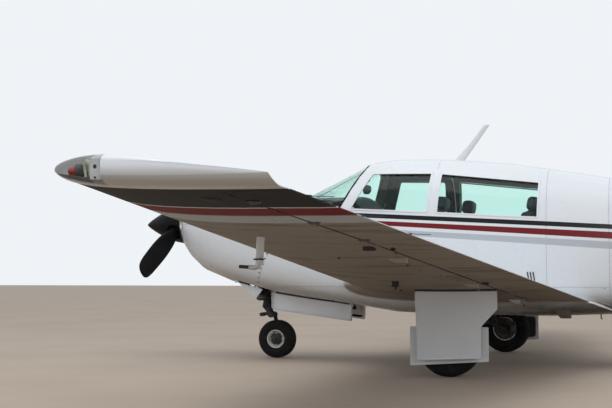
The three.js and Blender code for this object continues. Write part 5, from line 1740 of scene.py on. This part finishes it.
def wing_root_fillets():
    """Fillet where the wing's trailing edge runs back along the body, and one over its leading edge."""
    shape = Shape()
    stations = [560, 640, 720, 800, 880, 950, 1010, 1060, 1100]
    rings = []
    for y in stations:
        t = (y - 560) / 540
        edge = wing_height(440, min(y, 900)) * (1 - max(0, (y - 900) / 200)) + 448 * max(0, (y - 900) / 200)
        z = edge + 12 - 10 * t
        reach = 62 * (1 - t) ** 0.8 + 3
        upper, lower = z + 30 + 26 * (1 - t), z - 8
        rings.append([
            (body_half(y, upper) - 14, y, upper + 6), (body_half(y, upper) + 1, y, upper),
            (body_half(y, z) + reach * 0.45, y, z + 12), (body_half(y, z) + reach, y, z),
            (body_half(y, z) + reach * 0.9, y, z - 5), (body_half(y, lower) - 6, y, lower - 4),
            (body_half(y, lower) - 30, y, lower),
        ])
    shape.skin(rings)
    shape.mirrored().piece("wing_root_fillets", "plain", angle=60)
    seal = Shape()
    for above in (True, False):
        for side in (1, -1):
            path, facings = [], []
            for k in range(26):
                y = -1010 + k * 72
                z = wing_height(side * 560, y, above)
                point = on_side(y, z, side, 1)[0]
                path.append(Vector((point.x + side, y, wing_height(point.x, y, above))))
                facings.append(Vector((side, 0, 1 if above else -1)))
            seal.strip(path, facings, [(-10, -4), (-9, 1.2), (0, 3.4), (9, 1.2), (10, -4)], loop=False)
    seal.piece("wing_root_seals", "plain", angle=60)


# Tail, roof and belly
def tail_details():
    metal, dark, white, hatches = Shape(), Shape(), Shape(), Shape()
    white.turned([(9, -8), (13, 0), (13, 16), (9, 26), (0.1, 30)], (0, 4360, 1180), AFT, 20)
    for span in (900, 1300, 1650):
        row = between(STABILIZER, span)
        start = Vector((span, row[3] - 2, row[4]))
        dark.tube([start - Vector((0, 24, -3)), start + Vector((0, 10, 0))], 4, 8, 1)
        dark.tube([start, start + Vector((0, 100, -3))], 1.5, 6, 1)
    for span in (450, 1000, 1500):
        row = between(STABILIZER, span)
        for above in (1, -1):
            hatches.block((span - 12, row[3] - 590 + span * 0.05, row[4] + above * 30 - 6),
                          (span + 12, row[3] - 500 + span * 0.05, row[4] + above * 30 + 6), 3)
    dark.mirrored()
    for z in (1500, 1900, 2300):
        row = between(FIN, z)
        start = Vector((0, row[3] - 2, z))
        dark.tube([start, start + Vector((0, 90, 6))], 1.5, 6, 1)
    ridge = []
    for k in range(9):
        t = k / 8
        y = 2760 + t * 620
        top = body_height(y, 0)
        half, rise = 12 + 26 * t, 4 + 66 * t**1.6
        ridge.append([(-half - 14, y, top - 12), (-half * 0.5, y, top + rise * 0.35), (0, y, top + rise),
                      (half * 0.5, y, top + rise * 0.35), (half + 14, y, top - 12), (0, y, top - 20)])
    Shape().skin(ridge).piece("fin_fillet", "tail", angle=60)
    dome = [(26, -4), (28, 0), (26, 14), (18, 30), (8, 38), (0.1, 40)]
    Shape().turned(dome, (0, 3640, 2526), UP, 28).piece("beacon", "red_lamp")
    for side in (1, -1):
        metal.tube([(side * 6, 3560, 2420), (side * 60, 3530, 2424), (side * 230, 3640, 2430)], 2.2, 8, 5)
    metal.turned([(8, -4), (6, 14)], (0, 3552, 2420), AHEAD, 12)
    metal.piece("tail_fittings", "steel")
    hatches.mirrored().piece("tail_hinge_covers", "tail")
    dark.piece("tail_wicks", "panel")
    white.piece("tail_light", "strobe")
    fillets = Shape()
    rings = []
    for k in range(15):
        y = 3230 + k * 50
        middle, half = panel_lines(STABILIZER, 0, 120, y)
        inner = body_half(y, middle)
        section = ((-20, 18), (2, 16), (14, 4), (26, 1))
        upper = [(inner + reach, y, middle + half + rise) for reach, rise in section]
        lower = [(inner + reach, y, middle - half - rise) for reach, rise in section[::-1]]
        rings.append(upper + lower)
    fillets.skin(rings)
    fillets.mirrored().piece("stabilizer_fillets", "tail", angle=60)


def roof_and_belly():
    plates, metal, dark = Shape(), Shape(), Shape()
    foot = -184
    top = [(x, foot + dy, body_height(foot + dy, x) + 2.2) for x, dy in rectangle(-26, -62, 26, 62, 18)]
    low = [(x, y, z - 6) for x, y, z in top]
    crown = [(x * 0.8, (y - foot) * 0.9 + foot, z + 2.4) for x, y, z in top]
    plates.skin([low, top, crown])
    for y in (-160, -208):
        metal.stud((16, y, body_height(y, 16) + 3), UP, 4, 1.5, 10)
        metal.stud((-16, y, body_height(y, 16) + 3), UP, 4, 1.5, 10)
    for x, y in ((200, -1500), (-200, -1500), (120, 980)):
        low = body_height(y, x, False)
        metal.tube([(x, y, low + 8), (x, y, low - 26), (x, y + 10, low - 36)], 5, 10, 3)
    # Black bars on both sides stand for the louvre slots: painted shade in the openings.
    for side in (1, -1):
        for k in range(3):
            y = 452 + 22 * k
            path = [on_side(y + (751 - z) * 0.15, z, side, 1)[0] for z in (751, 725, 699, 673)]
            dark.tube(path, 4.5, 8, 3, flat=0.5, up=PORT)
    vent = Shape()
    for side in (1, -1):
        point, facing = on_side(-1420, 1120, side)
        vent.turned([(34, -3), (34, 2), (28, 3), (24, -8), (0.1, -8)], point, facing, 32)
    vent.piece("side_vents", "plain")
    rows = [(1686, -232, -136, 9), (1700, -220, -130, 8), (1850, -80, -20, 5), (1997, 36, 86, 3)]
    rings = []
    for z, lead, trail, half in rows:
        middle, reach = (lead + trail) / 2, (trail - lead) / 2
        rings.append([(half * s, middle - reach * c, z) for c, s in circle(20)])
    Shape().skin(rings).piece("antenna_blade", "plain", angle=50)
    plates.piece("antenna_plates", "plain")
    metal.piece("belly_drains", "steel")
    dark.piece("louvre_slot_shade", "panel")
    step = Shape()
    for k in range(7):
        y = 1090 + k * 13
        step.tube([(-572, y, 337.5), (-468, y, 337.5)], 3, 8, 1)
    step.tube([(-420, 990, 580), (-445, 1026, 505), (-500, 1120, 328)], lambda t: 17 - 3 * t, 14, 4)
    step.piece("step_tread", "rubber")


# Camera that sees the model as the photograph shows it: metres, radians and a lens in millimetres
CAMERA_PLACE = (9.3281, 1.5438 + AXLE_LINE, 0.7079)
CAMERA_YAW = 0.320373
CAMERA_PITCH = 0.066225
CAMERA_LENS = 65.193


def place_camera():
    yaw, pitch = CAMERA_YAW, CAMERA_PITCH
    ahead = Vector((-math.cos(yaw) * math.cos(pitch), -math.sin(yaw) * math.cos(pitch), math.sin(pitch)))
    data = bpy.data.cameras.new("camera")
    data.lens = CAMERA_LENS
    data.sensor_width = 36
    data.clip_end = 300
    camera = bpy.data.objects.new("camera", data)
    camera.location = CAMERA_PLACE
    camera.rotation_euler = ahead.to_track_quat("-Z", "Y").to_euler()
    bpy.context.scene.collection.objects.link(camera)
    bpy.context.scene.camera = camera


def area_light(name, place, target, size, power, colour=(1, 1, 1)):
    data = bpy.data.lights.new(name, "AREA")
    data.shape = "RECTANGLE"
    data.size, data.size_y = size
    data.energy = power
    data.color = colour
    light = bpy.data.objects.new(name, data)
    light.location = place
    light.rotation_euler = (Vector(target) - Vector(place)).to_track_quat("-Z", "Y").to_euler()
    bpy.context.scene.collection.objects.link(light)


def studio():
    world = bpy.data.worlds.new("studio")
    world.use_nodes = True
    sky = world.node_tree.nodes["Background"]
    sky.inputs["Color"].default_value = (0.90, 0.935, 0.97, 1)
    sky.inputs["Strength"].default_value = 0.96
    bpy.context.scene.world = world
    bpy.context.scene.view_settings.view_transform = "Standard"
    finish = Finish("floor", (0.40, 0.325, 0.26), 0.9)
    finish.paint((0.35, 0.28, 0.225), finish.noise(0.8, 6).rise(0.4, 0.7) * 0.5)
    finish.done()
    bpy.ops.mesh.primitive_plane_add(size=160, location=(0, 0, 0))
    floor = bpy.context.object
    floor.name = "floor"
    floor.data.materials.append(finish.material)
    area_light("overhead", (3, -2, 9), (0, 0, 0.8), (7, 7), 230, (1.0, 0.98, 0.95))
    area_light("fill", (11, 5, 5), (0, 0, 1), (6, 5), 170)


def cabin():
    window_seals()
    windshield_trim()
    door_details()
    instruments()
    compass()
    cabin_trim()
    headliner()
    front_seat(1, LEFT_SEAT)
    front_seat(-1, RIGHT_SEAT)
    rear_seat()


def exterior():
    wheels()
    main_gear()
    nose_gear()
    propeller()
    cowling()
    wing_tips()
    wing_tip_lights()
    wing_details()
    flap_brackets()
    wing_root_fillets()
    tail_details()
    roof_and_belly()


dress_all()
cabin()
exterior()
place_camera()
studio()
bpy.context.view_layer.update()
